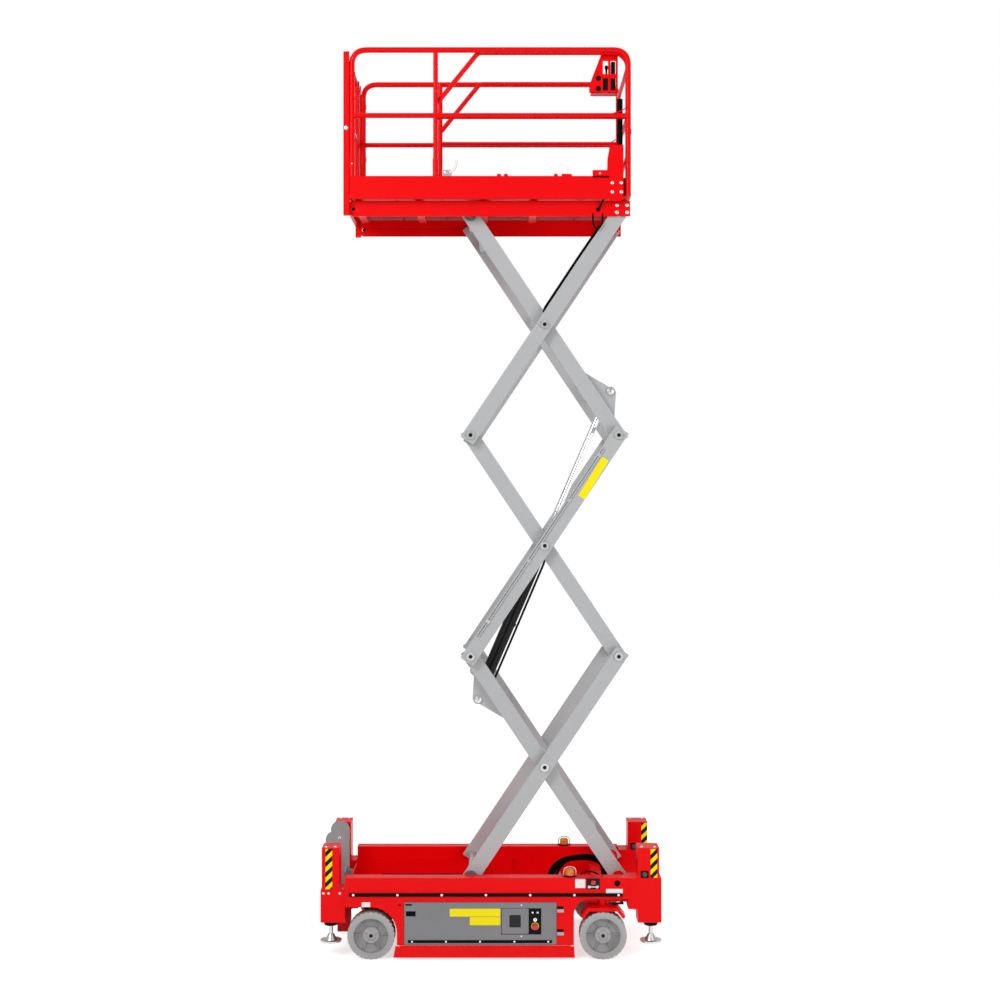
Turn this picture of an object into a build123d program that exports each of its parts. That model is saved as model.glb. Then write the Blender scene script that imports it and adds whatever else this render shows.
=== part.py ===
"""Self-propelled electric scissor lift, 6 m platform class, shown with its platform raised."""
from build123d import *
import math
import os

# All sizes are millimetres. +X is the steering end, +Y the far side, +Z up.
# The origin is on the ground, under the middle of the machine.

# Overall envelope
half_length = 1300.0
chassis_half_width = 600.0
plate = 8.0

# Wheels
wheel_radius = 180.0
wheel_width = 125.0
wheel_inset = 8.0
rim_radius = 150.0
tread_lugs = 30
tread_depth = 5.0
rear_axle_x = -912.0
front_axle_x = 855.0
spindle_radius = 24.0

# Chassis side panels and rails
panel_rear_x = -1112.0
panel_front_x = 1047.0
rail_top_z = 623.0
rail_width = 110.0
floor_top_z = 425.0
pan_bottom_z = 108.0
rear_arch_radius = 198.0
rear_arch_top_z = 400.0
front_arch_top_z = 460.0
front_arch_rear_x = 632.0
front_arch_corner = 115.0
track_top_z = 528.0
track_front_x = 174.0
strip_height = 25.0
strip_thickness = 9.0
strip_z = 495.0
strip_rear_x = -1076.0
strip_front_x = 1000.0

# Side doors and pothole guards
door_rear_x = -658.0
door_front_x = 499.0
door_bottom_z = 116.0
door_top_z = 438.0
door_gap = 3.0
door_thickness = 14.0
hinge_x = 500.5
hinge_radius = 4.0
hinge_leaf = 3.0
hinge_height = 23.0
hinge_z = (188.0, 362.0)
skirt_bottom_z = 111.0
guard_rear_x = -726.0
guard_front_x = 635.0
guard_hinge_z = 103.0
guard_hinge_radius = 4.7
guard_bottom_z = 17.0
guard_thickness = 6.0

# Levelling jacks
jack_x = 1226.0
jack_y = 487.0
jack_rod_radius = 16.0
pad_radius = 82.0
pad_bottom_z = 115.0
tower_half_depth = 90.0
tower_top_z = 846.0

# Scissor stack
arm_length = 2050.0
arm_depth = 116.0
arm_width = 60.0
arm_wall = 5.0
arm_overhang = 52.0
rest_angle = 56.2
fixed_pin_x = 984.0
base_pin_z = 588.0
outer_face_y = 455.0
arm_gap = 5.0
pin_radius = 25.0
pin_clearance = 0.08
pin_boss_radius = 33.0
pin_boss_length = 14.0
cross_tube_radius = 40.0
roller_radius = 59.7

# Lift cylinder
cylinder_along = 318.0
cylinder_across = 145.0
barrel_radius = 50.0
barrel_length = 1330.0
rod_radius = 24.0
cylinder_eye_radius = 46.0
cylinder_eye_width = 70.0
cylinder_pin_radius = 22.0

# Platform
platform_rear_x = -1104.0
platform_front_x = 1070.0
beam_half_width = 470.0
beam_below_pin = 22.0
beam_height = 119.0
deck_thickness = 25.0
deck_half_width = 526.0
toe_height = 151.0
toe_thickness = 6.0
rail_tube_radius = 21.0
rail_height = 1144.0
mid_rail_height = 621.0
rail_bend = 115.0
extension_rear_x = -460.0

# Steering
kingpin_y = 500.0
kingpin_radius = 20.0
kingpin_boss_radius = 36.5
saddle_top_z = 394.0
saddle_thickness = 27.0
steer_arm = 90.0

# Details of the chassis
well_top_z = 462.0
end_sheet_top_z = 515.0
battery_box_rear_x = -704.0
battery_box_front_x = 620.0
front_beam_top_z = 500.0
axle_beam_size = 90.0
spindle_out = 12.0
ear_thickness = 16.0
ear_radius = 45.0
ear_foot = 80.0
access_hole_x = 961.0
access_hole_z = 583.0
access_hole_radius = 24.0
beacon_x = 603.0
beacon_radius = 35.0
beacon_height = 58.0
tower_foot_z = 277.0
tower_shelf_rear_z = 530.0
tower_shelf_front_z = 616.0
ladder_front_x = -1150.0
ladder_half_width = 200.0
ladder_foot_z = 300.0
ladder_top_z = 893.0
ladder_corner = 65.0
panel_face_x = (80.0, 384.0)
panel_face_z = (193.0, 393.0)
control_recess = 8.0
control_depth = 55.0
stop_x = 337.0
stop_z = 254.0
stop_radius = 24.0
key_z = 306.0
kingpin_top_z = 450.0
hub_radius = 63.0
tread_groove = 9.0
tread_reach = 40.0
kingpin_play = 2.0
saddle_flat = 115.0
saddle_wing = 170.0
saddle_wing_z = 326.0
tie_rod_bottom_z = 399.0
tie_rod_top_z = 411.0

# Details of the scissor
first_tube = 330.0
far_tube = 1930.0
short_tube = 175.0
upper_tube = 1130.0
tube_offset = 40.0
bracket_thickness = 12.0
bracket_heel = 213.0
bracket_toe = 280.0
cylinder_boss_radius = 38.0
pin_socket_radius = 15.0
roller_width = 24.0
top_roller_radius = 45.0
gland_length = 40.0
rod_length = 1400.0

# Details of the platform
beam_corner = 55.0
cross_member_x = (-1030.0, -560.0, -60.0, 330.0, 1030.0)
cross_member_rise = 62.0
deck_rear_x = -1080.0
deck_front_x = 1040.0
toe_front_x = 908.0
rail_rear_x = -1064.0
rail_front_x = 1000.0
rail_post_x = -330.0
end_frame_x = -1128.0
end_post = 45.0
gate_half_width = 330.0
gate_gap = 6.0
gate_tube_radius = 16.0
extension_front_x = 1076.0
rail_gap = 7.0
extension_lift = 6.0
brace_top_x = -98.0
extension_tube_radius = 18.5
extension_plate = 5.0
duct_x = 996.0
duct_radius = 22.0
duct_notch = 4.0

# Values worked out from the sizes above
rest = math.radians(rest_angle)
rise = arm_length * math.sin(rest)
reach = arm_length * math.cos(rest)
slide_pin_x = fixed_pin_x - reach
top_pin_z = base_pin_z + 3 * rise
outer_mid_y = outer_face_y - arm_width / 2
inner_face_y = outer_face_y - arm_width - arm_gap
inner_mid_y = inner_face_y - arm_width / 2
inner_near_y = inner_face_y - arm_width
wheel_y = chassis_half_width - wheel_inset - wheel_width / 2
rail_inner_y = chassis_half_width - rail_width
beam_bottom_z = top_pin_z - beam_below_pin
beam_top_z = beam_bottom_z + beam_height
deck_top_z = beam_top_z + deck_thickness
main_rail_y = deck_half_width - rail_tube_radius
extension_rail_y = main_rail_y - rail_tube_radius - extension_tube_radius - rail_gap
duct_y = extension_rail_y - 60
end_frame_y = deck_half_width + 4
end_frame_top_z = deck_top_z + 1107
extension_top_z = deck_top_z + rail_height - rail_tube_radius - 8
control_bottom_z = deck_top_z + 777
roller_outer_y = outer_face_y + 6 + roller_width
sides = (-1, 1)


def block(x0, x1, y0, y1, z0, z1):
    """A box between two opposite corners."""
    middle = Pos((x0 + x1) / 2, (y0 + y1) / 2, (z0 + z1) / 2)
    return middle * Box(abs(x1 - x0), abs(y1 - y0), abs(z1 - z0))


def plate_xz(points, y0, y1):
    """A flat outline in the XZ plane, extruded from y0 to y1."""
    outline = make_face(Polyline(*[(x, 0, z) for x, z in points], close=True))
    low, high = min(y0, y1), max(y0, y1)
    return Pos(0, low, 0) * extrude(outline, amount=high - low, dir=(0, 1, 0))


def across(x, z, radius, y0, y1):
    """A round bar along Y."""
    return Pos(x, (y0 + y1) / 2, z) * Rot(90, 0, 0) * Cylinder(radius, abs(y1 - y0))


def upright(x, y, radius, z0, z1):
    """A round bar along Z."""
    return Pos(x, y, (z0 + z1) / 2) * Cylinder(radius, z1 - z0)


def pipe(points, radius, bends):
    """A round rail along straight runs with bent corners."""
    path = FilletPolyline(*points, radius=bends) if bends else Polyline(*points)
    start = Plane(origin=path @ 0, z_dir=path % 0)
    return sweep(start * Circle(radius), path=path)


def fused(pieces):
    """One shape from a list of pieces."""
    whole = pieces[0]
    for piece in pieces[1:]:
        whole += piece
    return whole


def keep(name, shape):
    """Write one sub-part as a compound of its solids."""
    solids = shape.solids() if hasattr(shape, "solids") else [s for p in shape for s in p.solids()]
    body = solids[0] if len(solids) == 1 else Compound(children=solids)
    export_step(body, f"parts/{name}.step")


def together(pieces):
    """Pieces that share a node without touching."""
    return Compound(children=[s for p in pieces for s in p.solids()])


def side_panel(side):
    """A chassis side: skirt with two wheel arches and a door opening, under a boxed rail."""
    outer = side * chassis_half_width
    inner = side * (chassis_half_width - plate)
    skirt = block(panel_rear_x, panel_front_x, outer, inner, skirt_bottom_z, rail_top_z)
    arch_z = rear_arch_top_z - rear_arch_radius
    rear = across(rear_axle_x, arch_z, rear_arch_radius, outer * 1.1, inner * 0.9)
    rear += block(panel_rear_x, rear_axle_x, outer * 1.1, inner * 0.9, 0, rear_arch_top_z)
    rear += block(panel_rear_x, rear_axle_x + rear_arch_radius, outer * 1.1, inner * 0.9, 0, arch_z)
    front = block(front_arch_rear_x, panel_front_x + 200, outer * 1.1, inner * 0.9,
                  0, front_arch_top_z)
    corner = front.edges().filter_by(Axis.Y).group_by(Axis.X)[0].sort_by(Axis.Z)[-1]
    front = fillet(corner, front_arch_corner)
    door = block(door_rear_x - door_gap, door_front_x + door_gap, outer * 1.1, inner * 0.9,
                 door_bottom_z - door_gap, door_top_z + door_gap)
    hole = across(access_hole_x, access_hole_z, access_hole_radius, outer * 1.1, inner * 0.9)
    skirt = skirt - rear - front - door - hole
    rail = block(panel_rear_x, panel_front_x, inner, side * rail_inner_y,
                 rail_top_z - plate, rail_top_z)
    rail += block(panel_rear_x, panel_front_x, side * rail_inner_y,
                  side * (rail_inner_y + plate), floor_top_z - plate, rail_top_z)
    rail += block(panel_rear_x, panel_front_x, inner, side * rail_inner_y,
                  well_top_z, well_top_z + plate)
    for x in (panel_rear_x, panel_front_x - plate):
        rail += block(x, x + plate, inner, side * rail_inner_y, well_top_z, rail_top_z)
    boss_bottom = saddle_top_z + kingpin_play
    rail += upright(front_axle_x, side * kingpin_y, kingpin_boss_radius, boss_bottom, well_top_z)
    rail -= upright(front_axle_x, side * kingpin_y, kingpin_radius + pin_clearance,
                    boss_bottom - 1, kingpin_top_z + 2)
    for z in hinge_z:
        skirt += block(hinge_x + hinge_radius + 0.3, hinge_x + 55, outer,
                       outer + side * hinge_leaf, z, z + hinge_height)
    return skirt + rail


def make_side_rails():
    """Both welded chassis sides."""
    keep("side_rails", together([side_panel(side) for side in sides]))


def pivot_ear(y0, y1):
    """An upright ear with a round head that carries a fixed scissor pin."""
    foot = block(fixed_pin_x - ear_foot, fixed_pin_x + ear_radius, y0, y1,
                 floor_top_z, base_pin_z)
    head = across(fixed_pin_x, base_pin_z, ear_radius, y0, y1)
    return foot + head - across(fixed_pin_x, base_pin_z, pin_radius + pin_clearance,
                                y0 - 1, y1 + 1)


def make_chassis_floor():
    """Tray floor, end sheets, battery box, slide tracks and pivot ears in one weldment."""
    edge = rail_inner_y
    pieces = [block(panel_rear_x, panel_front_x, -edge, edge, floor_top_z - plate, floor_top_z)]
    pieces.append(block(panel_rear_x, panel_rear_x + plate, -edge, edge,
                        floor_top_z - plate, end_sheet_top_z))
    pieces.append(block(panel_front_x - plate, panel_front_x, -edge, edge,
                        floor_top_z - plate, end_sheet_top_z))
    box_edge = chassis_half_width - plate
    pieces.append(block(battery_box_rear_x, battery_box_front_x, -box_edge, box_edge,
                        pan_bottom_z, pan_bottom_z + plate))
    for x in (battery_box_rear_x, battery_box_front_x - plate):
        pieces.append(block(x, x + plate, -box_edge, box_edge, pan_bottom_z, floor_top_z - plate))
    pieces.append(block(front_axle_x - 55, front_axle_x + 55, -edge, edge,
                        floor_top_z, front_beam_top_z))
    for side in sides:
        track_inner = outer_face_y + 6
        pieces.append(block(panel_rear_x, track_front_x, side * edge, side * track_inner,
                            floor_top_z, track_top_z))
        for y in (outer_mid_y - arm_width / 2, inner_near_y - arm_gap - ear_thickness):
            low, high = sorted((side * y, side * (y + ear_thickness)))
            pieces.append(pivot_ear(low, high))
    weldment = fused(pieces)
    for side in sides:
        weldment -= upright(front_axle_x, side * kingpin_y, kingpin_boss_radius, 0, rail_top_z)
    keep("chassis_floor", weldment)


def make_rear_axle():
    """A box beam under the tray with a stub spindle for each rear wheel."""
    half = axle_beam_size / 2
    beam_end = wheel_y - wheel_width / 2 - 12
    beam = block(rear_axle_x - half, rear_axle_x + half, -beam_end, beam_end,
                 wheel_radius - half, wheel_radius + half)
    for side in sides:
        beam += block(rear_axle_x - 70, rear_axle_x + 70, side * 330, side * 342,
                      wheel_radius - half, floor_top_z - plate)
        beam += across(rear_axle_x, wheel_radius, spindle_radius,
                       side * beam_end, side * (wheel_y + spindle_out))
    keep("rear_axle", beam)


def make_battery_block():
    """The traction battery and pump unit, as one plain mass behind the doors."""
    keep("battery_block", block(battery_box_rear_x + 120, battery_box_front_x - 180, -420, 420,
                                pan_bottom_z + plate, 360))


def make_side_strips():
    """A black rubbing strip along each chassis side."""
    strips = []
    for side in sides:
        strips.append(block(strip_rear_x, strip_front_x, side * chassis_half_width,
                            side * (chassis_half_width + strip_thickness),
                            strip_z - strip_height / 2, strip_z + strip_height / 2))
    keep("side_strips", together(strips))


def beacon_places():
    """Where the two beacons stand on the rails."""
    return [(beacon_x, side * (chassis_half_width - rail_width / 2)) for side in sides]


def make_beacons():
    """Amber flashing domes on the rails."""
    domes = []
    for x, y in beacon_places():
        lens = upright(x, y, beacon_radius, rail_top_z, rail_top_z + beacon_height)
        lens = fillet(lens.edges().filter_by(GeomType.CIRCLE).sort_by(Axis.Z)[-1:], 18)
        domes.append(lens)
    keep("beacon_lenses", together(domes))


def make_beacon_guards():
    """A bent bar over each beacon."""
    bars = []
    for x, y in beacon_places():
        half = beacon_radius + 12
        top = rail_top_z + beacon_height + 14
        bars.append(pipe([(x - half, y, rail_top_z), (x - half, y, top),
                          (x + half, y, top), (x + half, y, rail_top_z)], 4, half * 0.8))
    keep("beacon_guards", together(bars))


def jack_tower(end, side):
    """A boxed tower, open towards the machine, with the jack tube inside."""
    y0 = side * (jack_y - tower_half_depth)
    y1 = side * (jack_y + tower_half_depth)
    if end < 0:
        low = (-half_length + 3, panel_rear_x, tower_foot_z, tower_shelf_rear_z)
        high = (-half_length + 12, -half_length + 145)
    else:
        low = (panel_front_x, half_length, tower_shelf_front_z - 236, tower_shelf_front_z)
        high = (half_length - 180, half_length - 17)
    body = block(low[0], low[1], y0, y1, low[2], low[3])
    if end > 0:
        body += block(high[0], half_length, y0, y1, tower_foot_z, low[3])
    body += block(high[0], high[1], y0, y1, low[3], tower_top_z)
    bore = upright(end * jack_x, side * jack_y, jack_rod_radius + 4, 0, tower_top_z - 12)
    return body - bore


def make_jack_towers():
    """The four levelling-jack towers at the chassis corners."""
    towers = [jack_tower(end, side) for end in (-1, 1) for side in sides]
    keep("jack_towers", together(towers))


def make_jack_boots():
    """A rubber boot under each tower, around the jack rod."""
    boots = []
    for end in (-1, 1):
        for side in sides:
            at = (end * jack_x, side * jack_y)
            boot = upright(*at, jack_rod_radius + 16, tower_foot_z - 37, tower_foot_z)
            boots.append(boot - upright(*at, jack_rod_radius + 0.6, 0, tower_foot_z + 1))
    keep("jack_boots", together(boots))


def make_jack_leg(end, side, name):
    """A jack rod with its round foot pad."""
    at = (end * jack_x, side * jack_y)
    rod = upright(*at, jack_rod_radius, pad_bottom_z + 12, tower_top_z - 40)
    pad = upright(*at, pad_radius, pad_bottom_z, pad_bottom_z + 12)
    cone = Pos(at[0], at[1], pad_bottom_z + 12 + 22) * Cone(46, jack_rod_radius + 6, 44)
    pad += cone
    keep(name, rod + pad)


def make_entry_ladder():
    """Two rounded side plates with treads between them, behind the chassis."""
    ladder = []
    for side in sides:
        face = block(-half_length, ladder_front_x, side * ladder_half_width,
                     side * (ladder_half_width - plate), ladder_foot_z, ladder_top_z)
        tops = face.edges().filter_by(Axis.Y).group_by(Axis.Z)[-1]
        ladder.append(fillet(tops, ladder_corner))
        ladder.append(block(ladder_front_x, panel_rear_x, side * ladder_half_width,
                            side * (ladder_half_width - plate), floor_top_z - 60,
                            end_sheet_top_z - 10))
    inner = ladder_half_width - plate
    for z in (ladder_foot_z, ladder_foot_z + 200):
        ladder.append(block(-half_length + 10, ladder_front_x - 15, -inner, inner, z + 10, z + 35))
    keep("entry_ladder", fused(ladder))


def make_base_pins():
    """The fixed pins that hold the lowest inner arms in the chassis ears."""
    pins = []
    for side in sides:
        y0 = inner_near_y - arm_gap - ear_thickness
        y1 = outer_mid_y - arm_width / 2 + ear_thickness
        pins.append(across(fixed_pin_x, base_pin_z, pin_radius, side * y0, side * y1))
    keep("base_pins", together(pins))


def make_door(side, name):
    """A flush side door with a handle slot and two hinge barrels at its front edge."""
    face = side * chassis_half_width
    door = block(door_rear_x, door_front_x, face, face - side * door_thickness,
                 door_bottom_z, door_top_z)
    door -= block(door_rear_x + 12, door_rear_x + 88, face + side, face - side * 9, 330, 370)
    if side < 0:
        door -= block(*panel_face_x, face - 1, face + door_thickness + 1, *panel_face_z)
    hinge_y = face + side * (hinge_radius + 0.3)
    for z in hinge_z:
        door += block(hinge_x - 22, hinge_x, face, face + side * hinge_leaf,
                      z, z + hinge_height)
        door += upright(hinge_x, hinge_y, hinge_radius, z, z + hinge_height)
    keep(f"door_{name}", door)


def make_ground_control():
    """The lower control box, recessed in the near door, with its key and stop button."""
    face = -chassis_half_width + control_recess
    box = block(*panel_face_x, face, face + control_depth, *panel_face_z)
    box += across(stop_x, stop_z, stop_radius * 0.55, face, face - 12)
    box += across(stop_x, stop_z, stop_radius, face - 12, face - 24)
    box += across(stop_x, key_z, 13, face, face - 12)
    keep("ground_control", box)


def make_guards():
    """Folding skirts that hang under the doors while the platform is up."""
    for side, name in zip(sides, ("near", "far")):
        outer = side * chassis_half_width
        inner = outer - side * guard_thickness
        skirt = block(guard_rear_x, guard_front_x, outer, inner, guard_bottom_z, guard_hinge_z)
        tube = Pos((battery_box_rear_x + battery_box_front_x) / 2, inner, guard_hinge_z)
        length = battery_box_front_x - battery_box_rear_x - 20
        skirt += tube * Rot(0, 90, 0) * Cylinder(guard_hinge_radius, length)
        keep(f"guard_{name}", skirt)


def make_wheel(x, side, name):
    """A grooved tyre on a dished rim with a hub."""
    inner = side * (wheel_y - wheel_width / 2)
    outer = side * (wheel_y + wheel_width / 2)
    tyre = across(x, wheel_radius, wheel_radius, inner, outer)
    tyre -= across(x, wheel_radius, rim_radius, inner * 0.9, outer * 1.1)
    groove = block(x - tread_groove / 2, x + tread_groove / 2, outer, outer - side * tread_reach,
                   2 * wheel_radius - tread_depth, 2 * wheel_radius + 5)
    turn = 360 / tread_lugs
    centre = Axis((x, 0, wheel_radius), (0, 1, 0))
    cuts = [groove.rotate(centre, (i + 0.5) * turn) for i in range(tread_lugs)]
    other = block(x - tread_groove / 2, x + tread_groove / 2, inner, inner + side * tread_reach,
                  2 * wheel_radius - tread_depth, 2 * wheel_radius + 5)
    cuts += [other.rotate(centre, i * turn) for i in range(tread_lugs)]
    keep(f"tyre_{name}", tyre - cuts)
    rim = across(x, wheel_radius, rim_radius, inner, outer)
    rim -= across(x, wheel_radius, rim_radius - 15, outer, outer - side * 55)
    rim -= across(x, wheel_radius, rim_radius - 15, inner, inner + side * 35)
    rim += across(x, wheel_radius, hub_radius, outer - side * 58, outer - side * 22)
    rim -= across(x, wheel_radius, spindle_radius + pin_clearance, inner * 0.9,
                  side * (wheel_y + spindle_out))
    keep(f"rim_{name}", rim)


def make_knuckle(side, name):
    """A bent saddle over the front wheel, with the drive motor on its inboard leg."""
    half = saddle_flat
    wing = saddle_wing
    top = saddle_top_z
    low = top - saddle_thickness
    drop = top - saddle_wing_z
    outline = [(-wing, top - drop), (-half, top), (half, top), (wing, top - drop),
               (wing - 19, top - drop - 16), (half - 11, low), (11 - half, low),
               (19 - wing, top - drop - 16)]
    inboard = wheel_y - wheel_width / 2 - 25
    saddle = plate_xz([(front_axle_x + x, z) for x, z in outline],
                      side * inboard, side * (chassis_half_width - 2))
    leg_out = wheel_y - wheel_width / 2 - 10
    saddle += block(front_axle_x - 60, front_axle_x + 60, side * leg_out,
                    side * (leg_out - 15), 110, top)
    motor = across(front_axle_x, wheel_radius, 62, side * (leg_out - 15), side * (leg_out - 110))
    stub = across(front_axle_x, wheel_radius, spindle_radius, side * leg_out,
                  side * (wheel_y + spindle_out))
    kingpin = upright(front_axle_x, side * kingpin_y, kingpin_radius, top, kingpin_top_z)
    pin = upright(front_axle_x + steer_arm, side * kingpin_y, 10, top, tie_rod_top_z)
    keep(name, fused([saddle, motor, stub, kingpin, pin]))


def make_tie_rod():
    """A cranked bar that turns both front wheels together."""
    eye_x = front_axle_x + steer_arm
    bar_x = eye_x + 60
    rod = block(bar_x - 12, bar_x + 12, -kingpin_y - 12, kingpin_y + 12,
                tie_rod_bottom_z, tie_rod_top_z)
    for side in sides:
        rod += upright(eye_x, side * kingpin_y, 20, tie_rod_bottom_z, tie_rod_top_z)
        rod += block(eye_x, bar_x, side * kingpin_y - 12, side * kingpin_y + 12,
                     tie_rod_bottom_z, tie_rod_top_z)
    for side in sides:
        rod -= upright(eye_x, side * kingpin_y, 10 + pin_clearance, 0, 1000)
    keep("tie_rod", rod)


def arm(holes):
    """A capped box arm along +X from its first pin, with bushed pin holes."""
    depth = arm_depth / 2
    length = arm_length + arm_overhang
    body = block(-arm_overhang, length, -arm_width / 2, arm_width / 2, -depth, depth)
    wall = arm_wall
    body -= block(wall - arm_overhang, length - wall, wall - arm_width / 2, arm_width / 2 - wall,
                  wall - depth, depth - wall)
    for x in holes:
        body += across(x, 0, pin_radius + 12, -arm_width / 2, arm_width / 2)
    for x in holes:
        body -= across(x, 0, pin_radius + pin_clearance, -arm_width, arm_width)
    drain = Rot(0, 90, 0) * Cylinder(8, 2 * length + 200)
    caps = block(-arm_overhang - 1, wall - arm_overhang, -20, 20, -20, 20)
    caps += block(length - wall, length + 1, -20, 20, -20, 20)
    return body - (drain & caps)


def inner_place(stage):
    """Where an inner arm's lower pin lies, with its length up to the left."""
    return Pos(fixed_pin_x, 0, base_pin_z + stage * rise) * Rot(0, rest_angle - 180, 0)


def outer_place(stage):
    """Where an outer arm's lower pin lies, with its length up to the right."""
    return Pos(slide_pin_x, 0, base_pin_z + stage * rise) * Rot(0, -rest_angle, 0)


def bracket(pin_u, pin_v, toward):
    """A three-cornered plate beside an arm that carries a cylinder pin."""
    sign = math.copysign(1, pin_v)
    edge = sign * (arm_depth / 2 - 20)
    outline = [(pin_u - toward * bracket_heel, edge), (pin_u + toward * bracket_toe, edge),
               (pin_u + toward * 46, pin_v + sign * 6), (pin_u - toward * 26, pin_v + sign * 36)]
    web = plate_xz(outline, 0, bracket_thickness)
    web += across(pin_u, pin_v, cylinder_boss_radius, 0, bracket_thickness)
    return web - across(pin_u, pin_v, cylinder_pin_radius + pin_clearance, -1,
                        bracket_thickness + 1)


def make_inner_arms():
    """The three inner arm frames with their cross tubes and cylinder brackets."""
    low_u = arm_length - cylinder_along
    tubes = [[(first_tube, 0), (far_tube, tube_offset)],
             [(short_tube, 0), (arm_length - short_tube, 0)],
             [(upper_tube, 0), (arm_length - short_tube, 0)]]
    brackets = [(low_u, cylinder_across, -1), None, (cylinder_along, -cylinder_across, 1)]
    for stage in range(3):
        holes = [0, arm_length / 2, arm_length]
        pieces = [Pos(0, side * inner_mid_y, 0) * arm(holes) for side in sides]
        for u, v in tubes[stage]:
            pieces.append(across(u, v, cross_tube_radius, -inner_near_y, inner_near_y))
        if brackets[stage]:
            for y in (-inner_near_y, inner_near_y - bracket_thickness):
                pieces.append(Pos(0, y, 0) * bracket(*brackets[stage]))
        keep(f"inner_arms_{stage + 1}", inner_place(stage) * fused(pieces))


def make_outer_arms():
    """The three outer arm pairs."""
    for stage in range(3):
        holes = [0, arm_length / 2, arm_length]
        pieces = [Pos(0, side * outer_mid_y, 0) * arm(holes) for side in sides]
        keep(f"outer_arms_{stage + 1}", outer_place(stage) * together(pieces))


def headed_pin(u, inner_y, side):
    """A short pin through both arms with a round head on the outer face."""
    low, high = side * inner_y, side * (outer_face_y + pin_boss_length)
    pin = across(u, 0, pin_radius, low, high)
    pin += across(u, 0, pin_boss_radius, side * (outer_face_y + 0.3), high)
    return pin - across(u, 0, pin_socket_radius, high - side * pin_boss_length * 1.5, high * 1.1)


def long_pin(u, reach_y):
    """A tube that joins both sides of an arm pair through the inner arms."""
    return across(u, 0, pin_radius, -reach_y, reach_y)


def make_scissor_pins():
    """The pins that each outer arm pair carries."""
    stub = inner_near_y - 4
    for stage in range(3):
        pins = [headed_pin(arm_length / 2, stub, side) for side in sides]
        if stage == 0:
            pins.append(long_pin(0, roller_outer_y + 1))
        else:
            pins.append(fused([headed_pin(0, stub, side) for side in sides]
                              + [long_pin(0, stub + 10)]))
        if stage < 2:
            pins.append(fused([headed_pin(arm_length, stub, side) for side in sides]
                              + [long_pin(arm_length, stub + 10)]))
        keep(f"scissor_pins_{stage + 1}", outer_place(stage) * together(pins))


def make_rollers():
    """Rollers at the sliding ends of the lowest and the highest arms."""
    low = []
    high = []
    for side in sides:
        y = (side * (roller_outer_y - roller_width), side * roller_outer_y)
        roller = across(slide_pin_x, base_pin_z, roller_radius, *y)
        low.append(roller - across(slide_pin_x, base_pin_z, pin_radius + pin_clearance,
                                   y[0] * 0.9, y[1] * 1.1))
        y = (side * (inner_face_y + 6), side * (inner_face_y + 6 + roller_width))
        roller = across(slide_pin_x, top_pin_z, top_roller_radius, *y)
        high.append(roller - across(slide_pin_x, top_pin_z, pin_radius + pin_clearance,
                                    y[0] * 0.9, y[1] * 1.1))
    keep("base_rollers", together(low))
    keep("platform_rollers", together(high))
    reach_y = inner_face_y + 7 + roller_width
    keep("top_axle", across(slide_pin_x, top_pin_z, pin_radius, -reach_y, reach_y))


def cylinder_line():
    """The lower pin, the length and the slope of the lift cylinder at rest."""
    u = arm_length - cylinder_along
    x0 = fixed_pin_x - u * math.cos(rest) - cylinder_across * math.sin(rest)
    z0 = base_pin_z + u * math.sin(rest) - cylinder_across * math.cos(rest)
    x1 = fixed_pin_x - cylinder_along * math.cos(rest) + cylinder_across * math.sin(rest)
    z1 = (base_pin_z + 2 * rise + cylinder_along * math.sin(rest)
          + cylinder_across * math.cos(rest))
    return x0, z0, x1, z1, math.hypot(x1 - x0, z1 - z0), math.atan2(z1 - z0, x1 - x0)


def make_cylinder():
    """The lift cylinder: barrel, gland and rod, with their eyes and pins."""
    x0, z0, x1, z1, length, slope = cylinder_line()
    place = Pos(x0, 0, z0) * Rot(0, -math.degrees(slope), 0)
    width = cylinder_eye_width / 2
    along = Rot(0, 90, 0)
    barrel = Pos((barrel_length + 30) / 2, 0, 0) * along * Cylinder(barrel_radius,
                                                                   barrel_length - 30)
    barrel += across(0, 0, cylinder_eye_radius, -width, width)
    bore_length = barrel_length - 70
    barrel -= Pos(70 + bore_length / 2 - gland_length / 2, 0, 0) * along * Cylinder(
        barrel_radius - 9, bore_length - gland_length)
    barrel -= Pos(barrel_length, 0, 0) * along * Cylinder(rod_radius + pin_clearance,
                                                         4 * gland_length)
    barrel -= across(0, 0, cylinder_pin_radius + pin_clearance, -width - 1, width + 1)
    keep("cylinder_barrel", place * barrel)
    rod = Pos(length - rod_length / 2, 0, 0) * along * Cylinder(rod_radius, rod_length)
    rod += across(length, 0, cylinder_eye_radius, -width, width)
    rod += across(length, 0, cylinder_pin_radius, -width - 1, width + 1)
    keep("cylinder_rod", place * rod)
    reach_y = inner_near_y + 16
    keep("cylinder_base_pin", across(x0, z0, cylinder_pin_radius, -reach_y, reach_y))
    halves = []
    for side in sides:
        half = across(x1, z1, cylinder_pin_radius, side * (width + 6), side * reach_y)
        half += across(x1, z1, cylinder_boss_radius, side * (width + 6), side * (width + 20))
        halves.append(half)
    keep("cylinder_head_pins", together(halves))


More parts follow.
